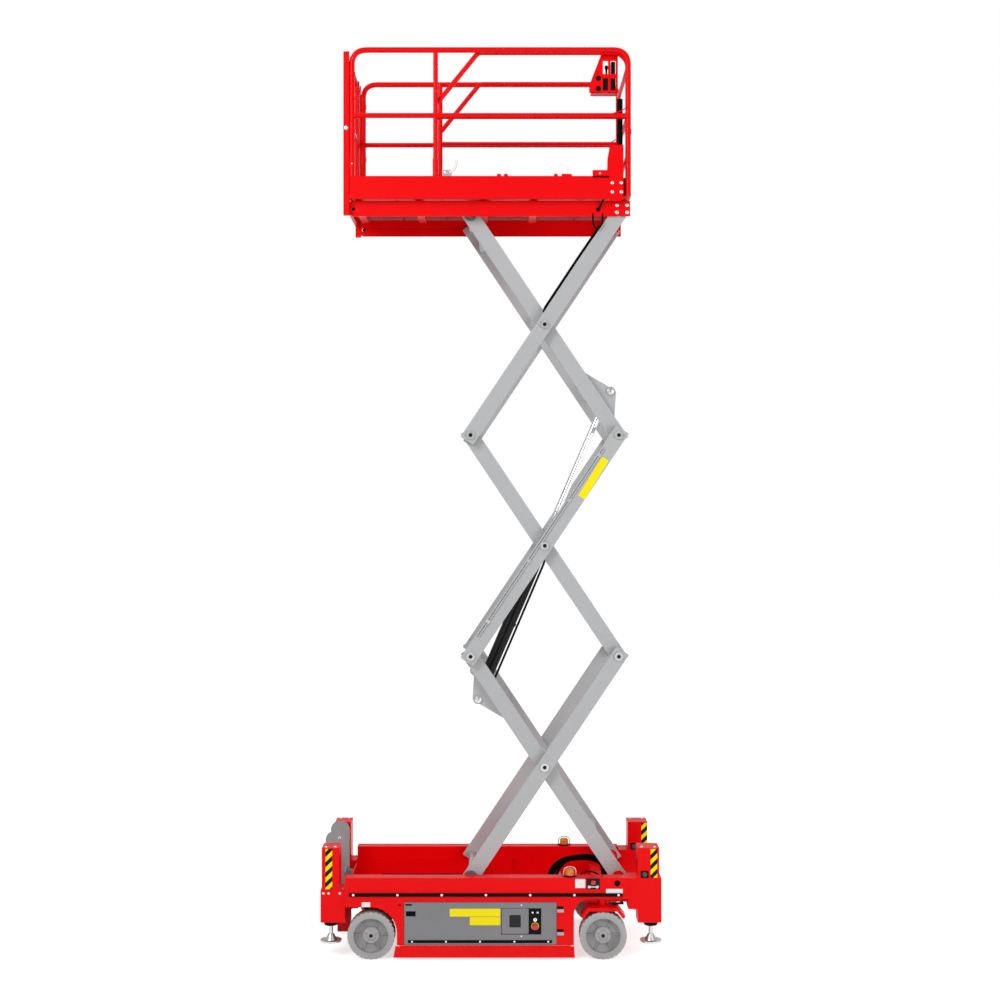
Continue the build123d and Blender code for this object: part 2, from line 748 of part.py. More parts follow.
def make_platform_frame():
    """Side beams, top roller tracks, pin ears and cross members under the deck."""
    beams = []
    for side in sides:
        outer = side * beam_half_width
        web = block(platform_rear_x, platform_front_x, outer, side * (beam_half_width - plate),
                    beam_bottom_z, beam_top_z)
        rear = web.edges().filter_by(Axis.Y).group_by(Axis.X)[0]
        web = fillet(rear, beam_corner)
        web -= across(platform_rear_x + 46, beam_bottom_z + 54, 14, outer * 1.1, outer * 0.9)
        web += block(platform_rear_x + beam_corner, platform_front_x, outer,
                     side * (beam_half_width - 70), beam_top_z - plate, beam_top_z)
        track_y = (side * (inner_face_y + 6), side * (inner_face_y + 7 + roller_width))
        track_z = top_pin_z + top_roller_radius + 0.3
        web += block(platform_rear_x + 30, slide_pin_x + 70, *track_y, track_z, beam_top_z)
        ear_y = sorted((side * (outer_mid_y - arm_width / 2 - 5),
                        side * (outer_mid_y - arm_width / 2 - 17)))
        ear = block(fixed_pin_x - 60, fixed_pin_x + 60, *ear_y, top_pin_z, beam_top_z)
        ear += across(fixed_pin_x, top_pin_z, 40, *ear_y)
        web += ear
        for y in (ear_y, sorted((outer, side * (beam_half_width - plate)))):
            web -= across(fixed_pin_x, top_pin_z, pin_radius + pin_clearance,
                          y[0] - 1, y[1] + 1)
        beams.append(web)
    members = []
    for x in cross_member_x:
        members.append(block(x - 30, x + 30, -inner_near_y + 10, inner_near_y - 10,
                             top_pin_z + cross_member_rise, beam_top_z))
        members.append(block(x - 30, x + 30, -beam_half_width + plate, beam_half_width - plate,
                             beam_top_z - 10, beam_top_z))
    keep("platform_frame", fused(beams + members))
    pins = []
    for side in sides:
        pins.append(across(fixed_pin_x, top_pin_z, pin_radius,
                           side * (outer_mid_y - arm_width / 2 - 18), side * beam_half_width))
    keep("platform_pins", together(pins))


def make_deck():
    """A thin deck plate with a folded rim and ribs."""
    y = deck_half_width
    deck = block(deck_rear_x, deck_front_x, -y, y, deck_top_z - 5, deck_top_z)
    for side in sides:
        deck += block(deck_rear_x, deck_front_x, side * y, side * (y - 6), beam_top_z, deck_top_z)
    for x in (deck_rear_x, deck_front_x - 6):
        deck += block(x, x + 6, -y, y, beam_top_z, deck_top_z)
    ribs = 6
    for i in range(1, ribs):
        x = deck_rear_x + i * (deck_front_x - deck_rear_x) / ribs
        deck += block(x - 3, x + 3, -y, y, beam_top_z, deck_top_z)
    keep("platform_deck", deck)


def make_toe_boards():
    """Kick boards along both platform sides."""
    boards = []
    for side in sides:
        y = side * deck_half_width
        boards.append(block(deck_rear_x, toe_front_x, y, y + side * toe_thickness,
                            beam_top_z, beam_top_z + 2 + toe_height + deck_thickness))
        boards.append(block(toe_front_x - 3, toe_front_x + 106, y + side * toe_thickness,
                            y + side * (toe_thickness + 5), beam_top_z - 10,
                            deck_top_z + 389))
    keep("toe_boards", fused([boards[0], boards[1]]) + fused([boards[2], boards[3]]))


def make_main_rails():
    """Guardrails of the fixed platform and the frame at its rear end."""
    rails = []
    top = deck_top_z + rail_height - rail_tube_radius
    middle = deck_top_z + mid_rail_height
    for side in sides:
        y = side * main_rail_y
        rails.append(pipe([(rail_rear_x, y, deck_top_z), (rail_rear_x, y, top),
                           (rail_front_x, y, top), (rail_front_x, y, deck_top_z)],
                          rail_tube_radius, rail_bend))
        rails.append(pipe([(rail_rear_x, y, middle), (rail_front_x, y, middle)],
                          rail_tube_radius - 2, 0))
        rails.append(upright(rail_post_x, y, rail_tube_radius - 3, deck_top_z, top))
        rails.append(block(end_frame_x, end_frame_x + end_post, side * end_frame_y,
                           side * (end_frame_y - end_post), beam_bottom_z, end_frame_top_z))
        rails.append(block(end_frame_x + end_post, rail_rear_x, side * (end_frame_y - 10),
                           side * (end_frame_y - 18), deck_top_z, deck_top_z + 340))
        gate_y = side * (gate_half_width + gate_gap)
        rails.append(block(end_frame_x, end_frame_x + end_post, gate_y,
                           gate_y + side * 35, deck_top_z - 25, end_frame_top_z))
        for z in (middle, end_frame_top_z - 35):
            rails.append(block(end_frame_x + 5, end_frame_x + 35, gate_y,
                               side * (end_frame_y - 5), z, z + 35))
    rails.append(block(end_frame_x, platform_rear_x, -end_frame_y + 5, end_frame_y - 5,
                       deck_top_z - 60, deck_top_z - 25))
    for z in (deck_top_z + 180, end_frame_top_z - 150):
        rails.append(block(end_frame_x + 10, end_frame_x + 35, -gate_half_width - gate_gap,
                           -gate_half_width - 0.3, z, z + 60))
    rails.append(block(end_frame_x + 20, deck_rear_x, -deck_half_width + 20,
                       deck_half_width - 20, deck_top_z - 25, deck_top_z - 19))
    keep("main_rails", fused(rails))


def make_gate():
    """The swing gate in the rear frame."""
    x = end_frame_x + end_post / 2
    low = deck_top_z + 12
    radius = gate_tube_radius
    y = gate_half_width - radius
    top = end_frame_top_z - radius
    middle = deck_top_z + mid_rail_height
    gate = pipe([(x, -y, low), (x, -y, top), (x, y, top), (x, y, low)], radius, 60)
    gate += pipe([(x, -y, middle), (x, y, middle)], radius - 2, 0)
    gate += block(x - 3, x + 3, -y, y, low, low + toe_height)
    keep("entry_gate", gate)


def make_extension():
    """The roll-out deck with its rails, kick boards and front end frame."""
    low = deck_top_z + extension_lift
    board = extension_rail_y - extension_tube_radius
    deck = block(extension_rear_x, extension_front_x, -extension_rail_y - 12,
                 extension_rail_y + 12, low, low + extension_plate)
    for side in sides:
        deck += block(extension_rear_x, extension_front_x, side * board, side * (board - 4),
                      low, low + toe_height)
        deck += block(extension_rear_x + 20, extension_front_x - 60, side * (board - 60),
                      side * (board - 30), deck_top_z + 0.3, low)
    deck += block(extension_front_x - 5, extension_front_x, -board, board, low, low + toe_height)
    deck -= block(duct_x - duct_radius - duct_notch, duct_x + duct_radius + duct_notch,
                  -board + 4, duct_radius + duct_notch - duct_y, low, low + extension_plate + 1)
    keep("extension_deck", deck)
    radius = extension_tube_radius
    y = extension_rail_y
    top = extension_top_z
    middle = deck_top_z + mid_rail_height
    rear = extension_rear_x + 36
    front = extension_front_x - radius - 6
    foot = low + extension_plate
    rails = []
    for side in sides:
        rails.append(pipe([(rear, side * y, middle + 94), (brace_top_x, side * y, top),
                           (front, side * y, top), (front, side * y, foot)], radius,
                          [60, rail_bend]))
        rails.append(upright(rear, side * y, radius, foot, top))
        rails.append(pipe([(rear, side * y, middle), (front, side * y, middle)],
                          radius - 2, 0))
    for z in (top - rail_bend, middle, middle - 300):
        rails.append(across(front, z, radius - 2, -y, y))
    keep("extension_rails", fused(rails))


def make_controls():
    """The platform control box in its cut-out bracket, and its cable duct."""
    y = 0.3 - (extension_rail_y - extension_tube_radius)
    top = extension_top_z
    bottom = control_bottom_z
    face = [(800, top), (978, top), (978, bottom), (760, bottom), (760, bottom + 38)]
    plate_face = plate_xz(face, y, y + 5)
    for i in range(2):
        for j in range(2):
            x0 = 826 + i * 62
            z0 = bottom + 38 + j * 130
            plate_face -= block(x0, x0 + 40, y - 1, y + 6, z0, z0 + 92)
    plate_face += block(780, 978, y, y + 100, bottom, bottom + 5)
    keep("control_bracket", plate_face)
    box = block(790, 960, y + 5, y + 130, bottom + 5, bottom + 245)
    keep("control_box", box)
    foot = deck_top_z + extension_lift
    keep("cable_duct", upright(duct_x, -duct_y, duct_radius, foot, bottom - 5))


def main():
    """Write every sub-part."""
    os.makedirs("parts", exist_ok=True)
    make_side_rails()
    make_chassis_floor()
    make_rear_axle()
    make_battery_block()
    make_side_strips()
    make_beacons()
    make_beacon_guards()
    make_jack_towers()
    make_jack_boots()
    for end, end_name in ((-1, "rear"), (1, "front")):
        for side, side_name in zip(sides, ("near", "far")):
            make_jack_leg(end, side, f"jack_leg_{end_name}_{side_name}")
            make_wheel(rear_axle_x if end < 0 else front_axle_x, side,
                       f"{end_name}_{side_name}")
    make_entry_ladder()
    make_base_pins()
    make_ground_control()
    make_guards()
    for side, side_name in zip(sides, ("near", "far")):
        make_knuckle(side, f"knuckle_{side_name}")
        make_door(side, side_name)
    make_tie_rod()
    make_inner_arms()
    make_outer_arms()
    make_scissor_pins()
    make_rollers()
    make_cylinder()
    make_platform_frame()
    make_deck()
    make_toe_boards()
    make_main_rails()
    make_gate()
    make_extension()
    make_controls()


main()
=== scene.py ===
import math
from functools import partial
import bpy
import numpy as np
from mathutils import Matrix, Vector


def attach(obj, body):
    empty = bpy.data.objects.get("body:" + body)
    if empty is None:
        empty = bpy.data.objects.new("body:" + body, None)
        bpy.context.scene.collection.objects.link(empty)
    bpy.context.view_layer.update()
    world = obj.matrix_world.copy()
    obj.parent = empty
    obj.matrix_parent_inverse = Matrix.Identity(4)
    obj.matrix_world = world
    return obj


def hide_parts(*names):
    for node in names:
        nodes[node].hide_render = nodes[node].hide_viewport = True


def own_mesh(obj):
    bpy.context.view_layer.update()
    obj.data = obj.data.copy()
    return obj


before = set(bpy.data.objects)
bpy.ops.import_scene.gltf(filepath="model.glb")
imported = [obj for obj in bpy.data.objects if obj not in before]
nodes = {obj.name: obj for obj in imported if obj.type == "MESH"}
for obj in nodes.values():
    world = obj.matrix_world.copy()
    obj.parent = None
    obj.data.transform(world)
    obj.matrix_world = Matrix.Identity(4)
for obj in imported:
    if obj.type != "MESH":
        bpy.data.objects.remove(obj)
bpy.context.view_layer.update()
print("frame loaded:", len(nodes), "nodes")

# The photograph's camera
view = dict(x=0.070, y=-12.55, z=3.496, lens=56.6, sensor=36.0)
cameraData = bpy.data.cameras.new("photoCamera")
cameraData.sensor_fit = "HORIZONTAL"
cameraData.sensor_width = view["sensor"]
cameraData.lens = view["lens"]
cameraData.clip_end = 200.0
camera = bpy.data.objects.new("photoCamera", cameraData)
camera.location = (view["x"], view["y"], view["z"])
camera.rotation_euler = (math.radians(90), 0, 0)
bpy.context.scene.collection.objects.link(camera)
bpy.context.scene.camera = camera
bpy.context.scene.view_settings.view_transform = "Standard"


def newMaterial(name):
    # An empty node material, with its tree and its Principled node
    material = bpy.data.materials.new(name)
    material.use_nodes = True
    tree = material.node_tree
    shader = tree.nodes["Principled BSDF"]
    return material, tree, shader


def addNode(tree, kind, **values):
    # One shader node; unlinked inputs and settings are given by name
    node = tree.nodes.new(kind)
    for key, value in values.items():
        if key in node.inputs:
            node.inputs[key].default_value = value
        else:
            setattr(node, key, value)
    return node


def openGroup(name, inputs):
    # A shader node group: colour sockets for its shades, float sockets for the rest
    group = bpy.data.node_groups.new(name, "ShaderNodeTree")
    for way, labels in (("INPUT", inputs), ("OUTPUT", ("Shade", "Roughness", "Relief"))):
        for label in labels:
            kind = "NodeSocketColor" if label.endswith("Shade") else "NodeSocketFloat"
            group.interface.new_socket(name=label, in_out=way, socket_type=kind)
    return group, group.nodes.new("NodeGroupInput"), group.nodes.new("NodeGroupOutput")


def mathNode(tree, operation, a, b=None, c=None):
    # A Math node whose operands are numbers or sockets
    node = tree.nodes.new("ShaderNodeMath")
    node.operation = operation
    for index, operand in enumerate((a, b, c)):
        if operand is None:
            continue
        if isinstance(operand, (int, float)):
            node.inputs[index].default_value = operand
        else:
            tree.links.new(operand, node.inputs[index])
    return node.outputs[0]


def texture(tree, kind="ShaderNodeTexNoise", **values):
    # A texture laid out in object coordinates
    node = addNode(tree, kind, **values)
    place = tree.nodes.new("ShaderNodeTexCoord").outputs["Object"]
    tree.links.new(place, node.inputs["Vector"])
    return node


def objectAxes(tree, kind="ShaderNodeTexCoord", output="Object"):
    # The X, Y and Z of the place in object coordinates, or of the normal
    split = tree.nodes.new("ShaderNodeSeparateXYZ")
    tree.links.new(tree.nodes.new(kind).outputs[output], split.inputs[0])
    return split.outputs


def buildCoatGroup():
    # Sprayed coat: a slow drift of shade, a fine orange-peel relief, a dust mask that grows
    # on faces that look up, and a blend towards the dust shade lower down, gone above the given top
    # height
    group, given, made = openGroup("sprayedCoat", ("Shade", "Drift", "Dust", "Dust Shade", "Gloss",
                                                   "Peel Scale", "Low Blend", "Low Blend Top"))
    link, calc, given = group.links.new, partial(mathNode, group), given.outputs
    slow = texture(group, Scale=2.3, Detail=4.0, Roughness=0.6).outputs["Fac"]
    smear = texture(group, Scale=19.0, Detail=6.0, Roughness=0.7).outputs["Fac"]
    peel = texture(group, Detail=2.0)
    link(given["Peel Scale"], peel.inputs["Scale"])
    drift = calc("MULTIPLY", calc("SUBTRACT", slow, 0.5), given["Drift"])
    shaded = addNode(group, "ShaderNodeHueSaturation")
    link(given["Shade"], shaded.inputs["Color"])
    link(calc("ADD", drift, 1.0), shaded.inputs["Value"])
    facing = objectAxes(group, "ShaderNodeNewGeometry", "Normal")
    upward = calc("MULTIPLY_ADD", facing["Z"], 0.7, 0.3)
    patch = calc("MULTIPLY", smear, given["Dust"])
    dust = calc("MAXIMUM", calc("MULTIPLY", patch, upward), 0.0)
    # A mix towards the dust shade that grows lower down and fades out at the given top height
    low = calc("SUBTRACT", 1.0, calc("DIVIDE", objectAxes(group)["Z"], given["Low Blend Top"]))
    low = calc("MULTIPLY", calc("MAXIMUM", low, 0.0), given["Low Blend"])
    lowBlend = calc("MULTIPLY", low, calc("MULTIPLY_ADD", smear, 2.0, -0.35))
    mask = calc("ADD", dust, calc("MAXIMUM", lowBlend, 0.0))
    mix = addNode(group, "ShaderNodeMix", data_type="RGBA")
    link(mask, mix.inputs[0])
    link(shaded.outputs["Color"], mix.inputs[6])
    link(given["Dust Shade"], mix.inputs[7])
    rough = calc("ADD", calc("MULTIPLY_ADD", smear, 0.14, -0.07), given["Gloss"])
    link(mix.outputs[2], made.inputs["Shade"])
    link(calc("ADD", rough, mask), made.inputs["Roughness"])
    link(peel.outputs["Fac"], made.inputs["Relief"])
    return group


def buildBrushGroup():
    # Worked metal: fine lines along X from stretched noise, and a cloud of shade
    group, given, made = openGroup("workedMetal", ("Shade", "Gloss", "Contrast", "Lines"))
    link, calc, given = group.links.new, partial(mathNode, group), given.outputs
    stretch = texture(group, "ShaderNodeMapping", Scale=(0.04, 1.0, 1.0))
    lines = addNode(group, "ShaderNodeTexNoise", Detail=3.0, Roughness=0.6)
    link(stretch.outputs[0], lines.inputs["Vector"])
    link(given["Lines"], lines.inputs["Scale"])
    cloud = texture(group, Scale=26.0, Detail=5.0).outputs["Fac"]
    spread = calc("MULTIPLY", calc("SUBTRACT", cloud, 0.5), given["Contrast"])
    shaded = addNode(group, "ShaderNodeHueSaturation")
    link(given["Shade"], shaded.inputs["Color"])
    link(calc("ADD", spread, 1.0), shaded.inputs["Value"])
    link(shaded.outputs["Color"], made.inputs["Shade"])
    link(calc("ADD", given["Gloss"], calc("MULTIPLY", spread, 0.8)), made.inputs["Roughness"])
    link(lines.outputs["Fac"], made.inputs["Relief"])
    return group


coatGroup = buildCoatGroup()
brushGroup = buildBrushGroup()


def surfaced(name, effect, settings, relief):
    # A material whose shade, roughness and relief come from a shared shader group
    material, tree, shader = newMaterial(name)
    group = addNode(tree, "ShaderNodeGroup", node_tree=effect)
    for key, value in settings.items():
        group.inputs[key].default_value = (*value, 1) if isinstance(value, tuple) else value
    bump = addNode(tree, "ShaderNodeBump", Strength=1.0, Distance=relief)
    tree.links.new(group.outputs["Shade"], shader.inputs["Base Color"])
    tree.links.new(group.outputs["Roughness"], shader.inputs["Roughness"])
    tree.links.new(group.outputs["Relief"], bump.inputs["Height"])
    tree.links.new(bump.outputs["Normal"], shader.inputs["Normal"])
    return material, shader


def coated(name, shade, gloss=0.3, drift=0.12, dust=0.05, peel=420.0, relief=0.00006,
           coat=0.0, coatGloss=0.1, specular=0.5, dustShade=(0.55, 0.53, 0.5), lowBlend=0.0,
           lowBlendTop=0.35):
    # A painted, moulded or rubber finish
    settings = {"Shade": shade, "Drift": drift, "Dust": dust, "Dust Shade": dustShade,
                "Gloss": gloss, "Peel Scale": peel, "Low Blend": lowBlend, "Low Blend Top": lowBlendTop}
    material, shader = surfaced(name, coatGroup, settings, relief)
    shader.inputs["Specular IOR Level"].default_value = specular
    shader.inputs["Coat Weight"].default_value = coat
    shader.inputs["Coat Roughness"].default_value = coatGloss
    return material


def metal(name, shade, gloss=0.3, contrast=0.2, lines=300.0, relief=0.00003):
    # A bare or plated metal
    settings = {"Shade": shade, "Gloss": gloss, "Contrast": contrast, "Lines": lines}
    material, shader = surfaced(name, brushGroup, settings, relief)
    shader.inputs["Metallic"].default_value = 1.0
    return material


def hazardTape():
    # Chevron tape: bands of one pitch across x + y + slope * z, in black and yellow
    tape = dict(first=(0.002, 0.002, 0.002), second=(0.94, 0.76, 0.001), pitch=0.078, slope=-1.0)
    material, tree, shader = newMaterial("hazardTape")
    link, calc, axes = tree.links.new, partial(mathNode, tree), objectAxes(tree)
    line = calc("MULTIPLY_ADD", axes["Z"], tape["slope"], calc("ADD", axes["X"], axes["Y"]))
    step = calc("FRACT", calc("DIVIDE", line, tape["pitch"]))
    mix = addNode(tree, "ShaderNodeMix", data_type="RGBA")
    link(calc("GREATER_THAN", step, 0.5), mix.inputs[0])
    mix.inputs[6].default_value = (*tape["first"], 1)
    mix.inputs[7].default_value = (*tape["second"], 1)
    link(mix.outputs[2], shader.inputs["Base Color"])
    speck = texture(tree, Scale=60.0, Detail=4.0).outputs["Fac"]
    link(calc("MULTIPLY_ADD", speck, 0.2, 0.25), shader.inputs["Roughness"])
    shader.inputs["Specular IOR Level"].default_value = 0.14
    return material


def amberLens():
    # Amber dome: tinted, partly see-through plastic with ribs along Z
    material, tree, shader = newMaterial("amberLens")
    link = tree.links.new
    ribs = texture(tree, "ShaderNodeTexWave", bands_direction="Z", Scale=38.0, Distortion=0.0)
    bump = addNode(tree, "ShaderNodeBump", Strength=0.5, Distance=0.0006)
    link(ribs.outputs["Fac"], bump.inputs["Height"])
    link(bump.outputs["Normal"], shader.inputs["Normal"])
    blend = addNode(tree, "ShaderNodeMix", data_type="RGBA")
    link(texture(tree, Scale=24.0).outputs["Fac"], blend.inputs[0])
    blend.inputs[6].default_value = (0.95, 0.30, 0.01, 1)
    blend.inputs[7].default_value = (0.85, 0.20, 0.005, 1)
    link(blend.outputs[2], shader.inputs["Base Color"])
    shader.inputs["Roughness"].default_value = 0.14
    shader.inputs["Transmission Weight"].default_value = 0.25
    return material


def treadPlate():
    # Deck plate: raised grip lines from two crossed waves under the red coat
    material = coated("treadPlateRed", (0.60, 0.004, 0.006), gloss=0.42, drift=0.15, dust=0.12,
                      dustShade=(0.40, 0.20, 0.18), specular=0.3)
    tree = material.node_tree
    fine = next(node for node in tree.nodes if node.type == "BUMP")
    waves = [texture(tree, "ShaderNodeTexWave", bands_direction=way, Scale=9.0, Distortion=0.0)
             .outputs["Fac"] for way in ("X", "Y")]
    lugs = mathNode(tree, "GREATER_THAN", mathNode(tree, "MULTIPLY", *waves), 0.55)
    bump = addNode(tree, "ShaderNodeBump", Strength=0.8, Distance=0.0012)
    tree.links.new(lugs, bump.inputs["Height"])
    tree.links.new(fine.outputs["Normal"], bump.inputs["Normal"])
    tree.links.new(bump.outputs["Normal"], tree.nodes["Principled BSDF"].inputs["Normal"])
    return material


finish = dict(
    redPaint=coated("redPowderCoat", (0.86, 0.0004, 0.0022), drift=0.08, dust=0.012,
                    coat=0.05, coatGloss=0.06, specular=0.10, dustShade=(0.62, 0.10, 0.08),
                    lowBlend=0.10),
    armGrey=coated("armSatinGrey", (0.44, 0.445, 0.455), gloss=0.42, drift=0.10, dust=0.06,
                   relief=0.00008),
    ladderGrey=coated("ladderGrey", (0.30, 0.305, 0.31), gloss=0.45, drift=0.10, dust=0.08),
    doorGrey=coated("doorTexturedGrey", (0.20, 0.205, 0.215), gloss=0.5, drift=0.08,
                    dust=0.06, peel=900.0, relief=0.00018, lowBlend=0.12),
    darkGrey=coated("darkGreyEdge", (0.055, 0.056, 0.06), gloss=0.5, drift=0.2),
    blackSteel=coated("blackSteelPaint", (0.006, 0.006, 0.007), gloss=0.38, drift=0.3,
                      dust=0.04, lowBlend=0.1, dustShade=(0.14, 0.13, 0.13), specular=0.18),
    zinc=metal("zincPlate", (0.62, 0.62, 0.60), gloss=0.33, contrast=0.35),
    brightZinc=metal("brightZinc", (0.86, 0.86, 0.84), gloss=0.36),
    chrome=metal("hardChrome", (0.78, 0.79, 0.80), gloss=0.10, contrast=0.06, lines=900.0,
                 relief=0.00001),
    tyre=coated("nonMarkingRubber", (0.45, 0.445, 0.44), gloss=0.72, drift=0.18, dust=0.2,
                peel=700.0, relief=0.0002, specular=0.3, dustShade=(0.30, 0.29, 0.28),
                lowBlend=0.35, lowBlendTop=0.25),
    rim=coated("castRimPaint", (0.40, 0.40, 0.405), gloss=0.48, drift=0.14, dust=0.12,
               peel=260.0, relief=0.0003, dustShade=(0.25, 0.24, 0.23), lowBlend=0.15),
    rubber=coated("blackRubber", (0.0022, 0.0022, 0.0022), gloss=0.62, drift=0.3,
                  dustShade=(0.03, 0.03, 0.03), specular=0.08),
    plastic=coated("blackPlastic", (0.003, 0.003, 0.0035), gloss=0.4, drift=0.2, dust=0.04,
                   peel=1400.0, relief=0.0001, dustShade=(0.04, 0.04, 0.04), specular=0.11),
    screen=coated("displayScreen", (0.006, 0.007, 0.008), gloss=0.16, drift=0.1, dust=0.02,
                  relief=0.00001, specular=0.25),
    nylon=coated("castNylon", (0.10, 0.10, 0.10), gloss=0.5, drift=0.2, dust=0.1),
    battery=coated("batteryCase", (0.03, 0.03, 0.035), gloss=0.5, drift=0.2, dust=0.2),
    sign=coated("yellowSign", (0.94, 0.80, 0.001), drift=0.05, dust=0.01, specular=0.16),
    white=coated("whiteSign", (0.84, 0.84, 0.83), gloss=0.32, drift=0.05, dust=0.03),
    stopRed=coated("stopButtonRed", (0.62, 0.006, 0.006), gloss=0.22, drift=0.08, dust=0.02,
                   coat=0.4),
    orange=coated("orangeReflector", (0.75, 0.16, 0.02), gloss=0.2, drift=0.1, dust=0.03),
    tape=hazardTape(), amber=amberLens(), tread=treadPlate(),
)

# Which finish each frame node takes, by the start of its name
nodeFinish = dict(
    redPaint=("side_rails", "chassis_floor", "jack_towers", "guard_", "platform_frame", "toe_boards",
              "main_rails", "entry_gate", "extension_rails", "control_bracket", "knuckle_"),
    blackSteel=("rear_axle", "cylinder_barrel", "tie_rod"), tread=("platform_deck", "extension_deck"),
    rubber=("side_strips", "jack_boots", "cable_duct"), plastic=("ground_control", "control_box"),
    zinc=("beacon_guards", "base_pins", "scissor_pins", "cylinder_base_pin", "cylinder_head_pins",
          "top_axle", "platform_pins", "jack_leg"),
    armGrey=("inner_arms", "outer_arms"), nylon=("base_rollers", "platform_rollers"),
    ladderGrey=("entry_ladder",), doorGrey=("door_",), chrome=("cylinder_rod",),
    battery=("battery_block",), amber=("beacon_lenses",), tyre=("tyre_",), rim=("rim_",))
for name, node in nodes.items():
    finishName = next(key for key, starts in nodeFinish.items() if name.startswith(starts))
    for materialSlot in node.material_slots:
        materialSlot.material = finish[finishName]
print("finishes set on the frame")

outward, inward, up = (0, -1, 0), (0, 1, 0), (0, 0, 1)


def form(verts, quads, caps=()):
    # A closed shape turned right side out: its volume is the sum of p . (q x r) / 6
    quads = np.array(quads)
    triangles = [quads[:, [0, 1, 2]], quads[:, [0, 2, 3]]]
    for cap in caps:
        cap = np.array(cap)
        triangles.append(np.stack([np.full(len(cap) - 2, cap[0]), cap[1:-1], cap[2:]], axis=1))
    p, q, r = (verts[np.concatenate(triangles)[:, k]] for k in range(3))
    if np.sum(p * np.cross(q, r)) < 0:
        quads, caps = quads[:, ::-1], [list(cap)[::-1] for cap in caps]
    return verts, quads, caps


def gridQuads(rows, columns, wrapRows=False):
    # Quads between neighbouring rings of a rows x columns grid, closed round each ring
    i = np.arange(rows if wrapRows else rows - 1)[:, None]
    j = np.arange(columns)[None, :]
    nextI, nextJ = (i + 1) % rows, (j + 1) % columns
    corners = [i * columns + j, i * columns + nextJ, nextI * columns + nextJ, nextI * columns + j]
    return np.stack([np.broadcast_to(corner, (len(i), columns)).ravel() for corner in corners], 1)


def endCaps(rows, count):
    return [list(range(count))[::-1], list(range((rows - 1) * count, rows * count))]


def turned(profile, centre, axis=outward, count=36, ring=False):
    # Each (t, r) of the profile gives a ring: centre + t axis + r (cos a u + sin a v)
    profile = np.array(profile, float)
    axis = np.array(axis, float) / np.linalg.norm(axis)
    lean = np.array((0, 0, 1.0)) if abs(axis[2]) < 0.9 else np.array((1.0, 0, 0))
    u = np.cross(lean, axis)
    u /= np.linalg.norm(u)
    v = np.cross(axis, u)
    angle = np.arange(count) * 2 * np.pi / count
    circle = np.cos(angle)[:, None] * u + np.sin(angle)[:, None] * v
    verts = (np.array(centre, float) + profile[:, 0, None, None] * axis
             + profile[:, 1, None, None] * circle[None]).reshape(-1, 3)
    rows = len(profile)
    if ring:
        return form(verts, gridQuads(rows, count, True))
    return form(verts, gridQuads(rows, count), endCaps(rows, count))


def slab(outline, low, high, bevel=0.0008, plane="xz"):
    # An outline carried from low to high, drawn in by the bevel along its corner bisectors
    points = np.array(outline, float)
    before = points - np.roll(points, 1, axis=0)
    before /= np.linalg.norm(before, axis=1)[:, None]
    after, ahead = np.roll(before, -1, axis=0), np.roll(points, -1, axis=0)
    area = np.sum(points[:, 0] * ahead[:, 1] - ahead[:, 0] * points[:, 1])
    sign = 1 if area > 0 else -1
    both = before + after
    inward = sign * np.stack([-both[:, 1], both[:, 0]], 1)
    inward /= np.linalg.norm(inward, axis=1)[:, None]
    normal = sign * np.stack([-before[:, 1], before[:, 0]], 1)
    lean = np.clip(np.sum(inward * normal, axis=1), 0.3, 1)
    low, high = min(low, high), max(low, high)
    bevel = min(bevel, (high - low) / 3)
    drawn = points + inward * (bevel / lean)[:, None]
    rings = []
    for flat, depth in ((drawn, low), (points, low + bevel), (points, high - bevel), (drawn, high)):
        deep = np.full(len(flat), depth)
        order = {"xz": (flat[:, 0], deep, flat[:, 1]), "xy": (flat[:, 0], flat[:, 1], deep),
                 "yz": (deep, flat[:, 0], flat[:, 1])}[plane]
        rings.append(np.stack(order, 1))
    count = len(points)
    return form(np.concatenate(rings), gridQuads(4, count), endCaps(4, count))


def plateBox(x0, x1, y0, y1, z0, z1, bevel=0.0008, corner=0.0):
    # A slab in XZ; its corners are quarter circles where a corner radius is given
    if corner <= 0:
        return slab([(x0, z0), (x1, z0), (x1, z1), (x0, z1)], y0, y1, bevel)
    turn = np.linspace(0, np.pi / 2, 5)
    rows = []
    for k, (x, z) in enumerate(((x1 - corner, z0 + corner), (x1 - corner, z1 - corner),
                                (x0 + corner, z1 - corner), (x0 + corner, z0 + corner))):
        angle = turn + (k - 1) * np.pi / 2
        rows.append(np.stack([x + corner * np.cos(angle), z + corner * np.sin(angle)], 1))
    return slab(np.concatenate(rows), y0, y1, bevel)


def softPath(points, corner):
    # Straight runs whose corners are parabolas: (1-t)^2 a + 2t(1-t) p + t^2 b
    points = np.array(points, float)
    t = np.linspace(0, 1, 9)[:, None]
    rows = [points[:1]]
    for before, here, after in zip(points, points[1:], points[2:]):
        a = here + (before - here) * min(0.49, corner / np.linalg.norm(before - here))
        b = here + (after - here) * min(0.49, corner / np.linalg.norm(after - here))
        rows.append((1 - t) ** 2 * a + 2 * t * (1 - t) * here + t ** 2 * b)
    rows.append(points[-1:])
    return np.concatenate(rows)


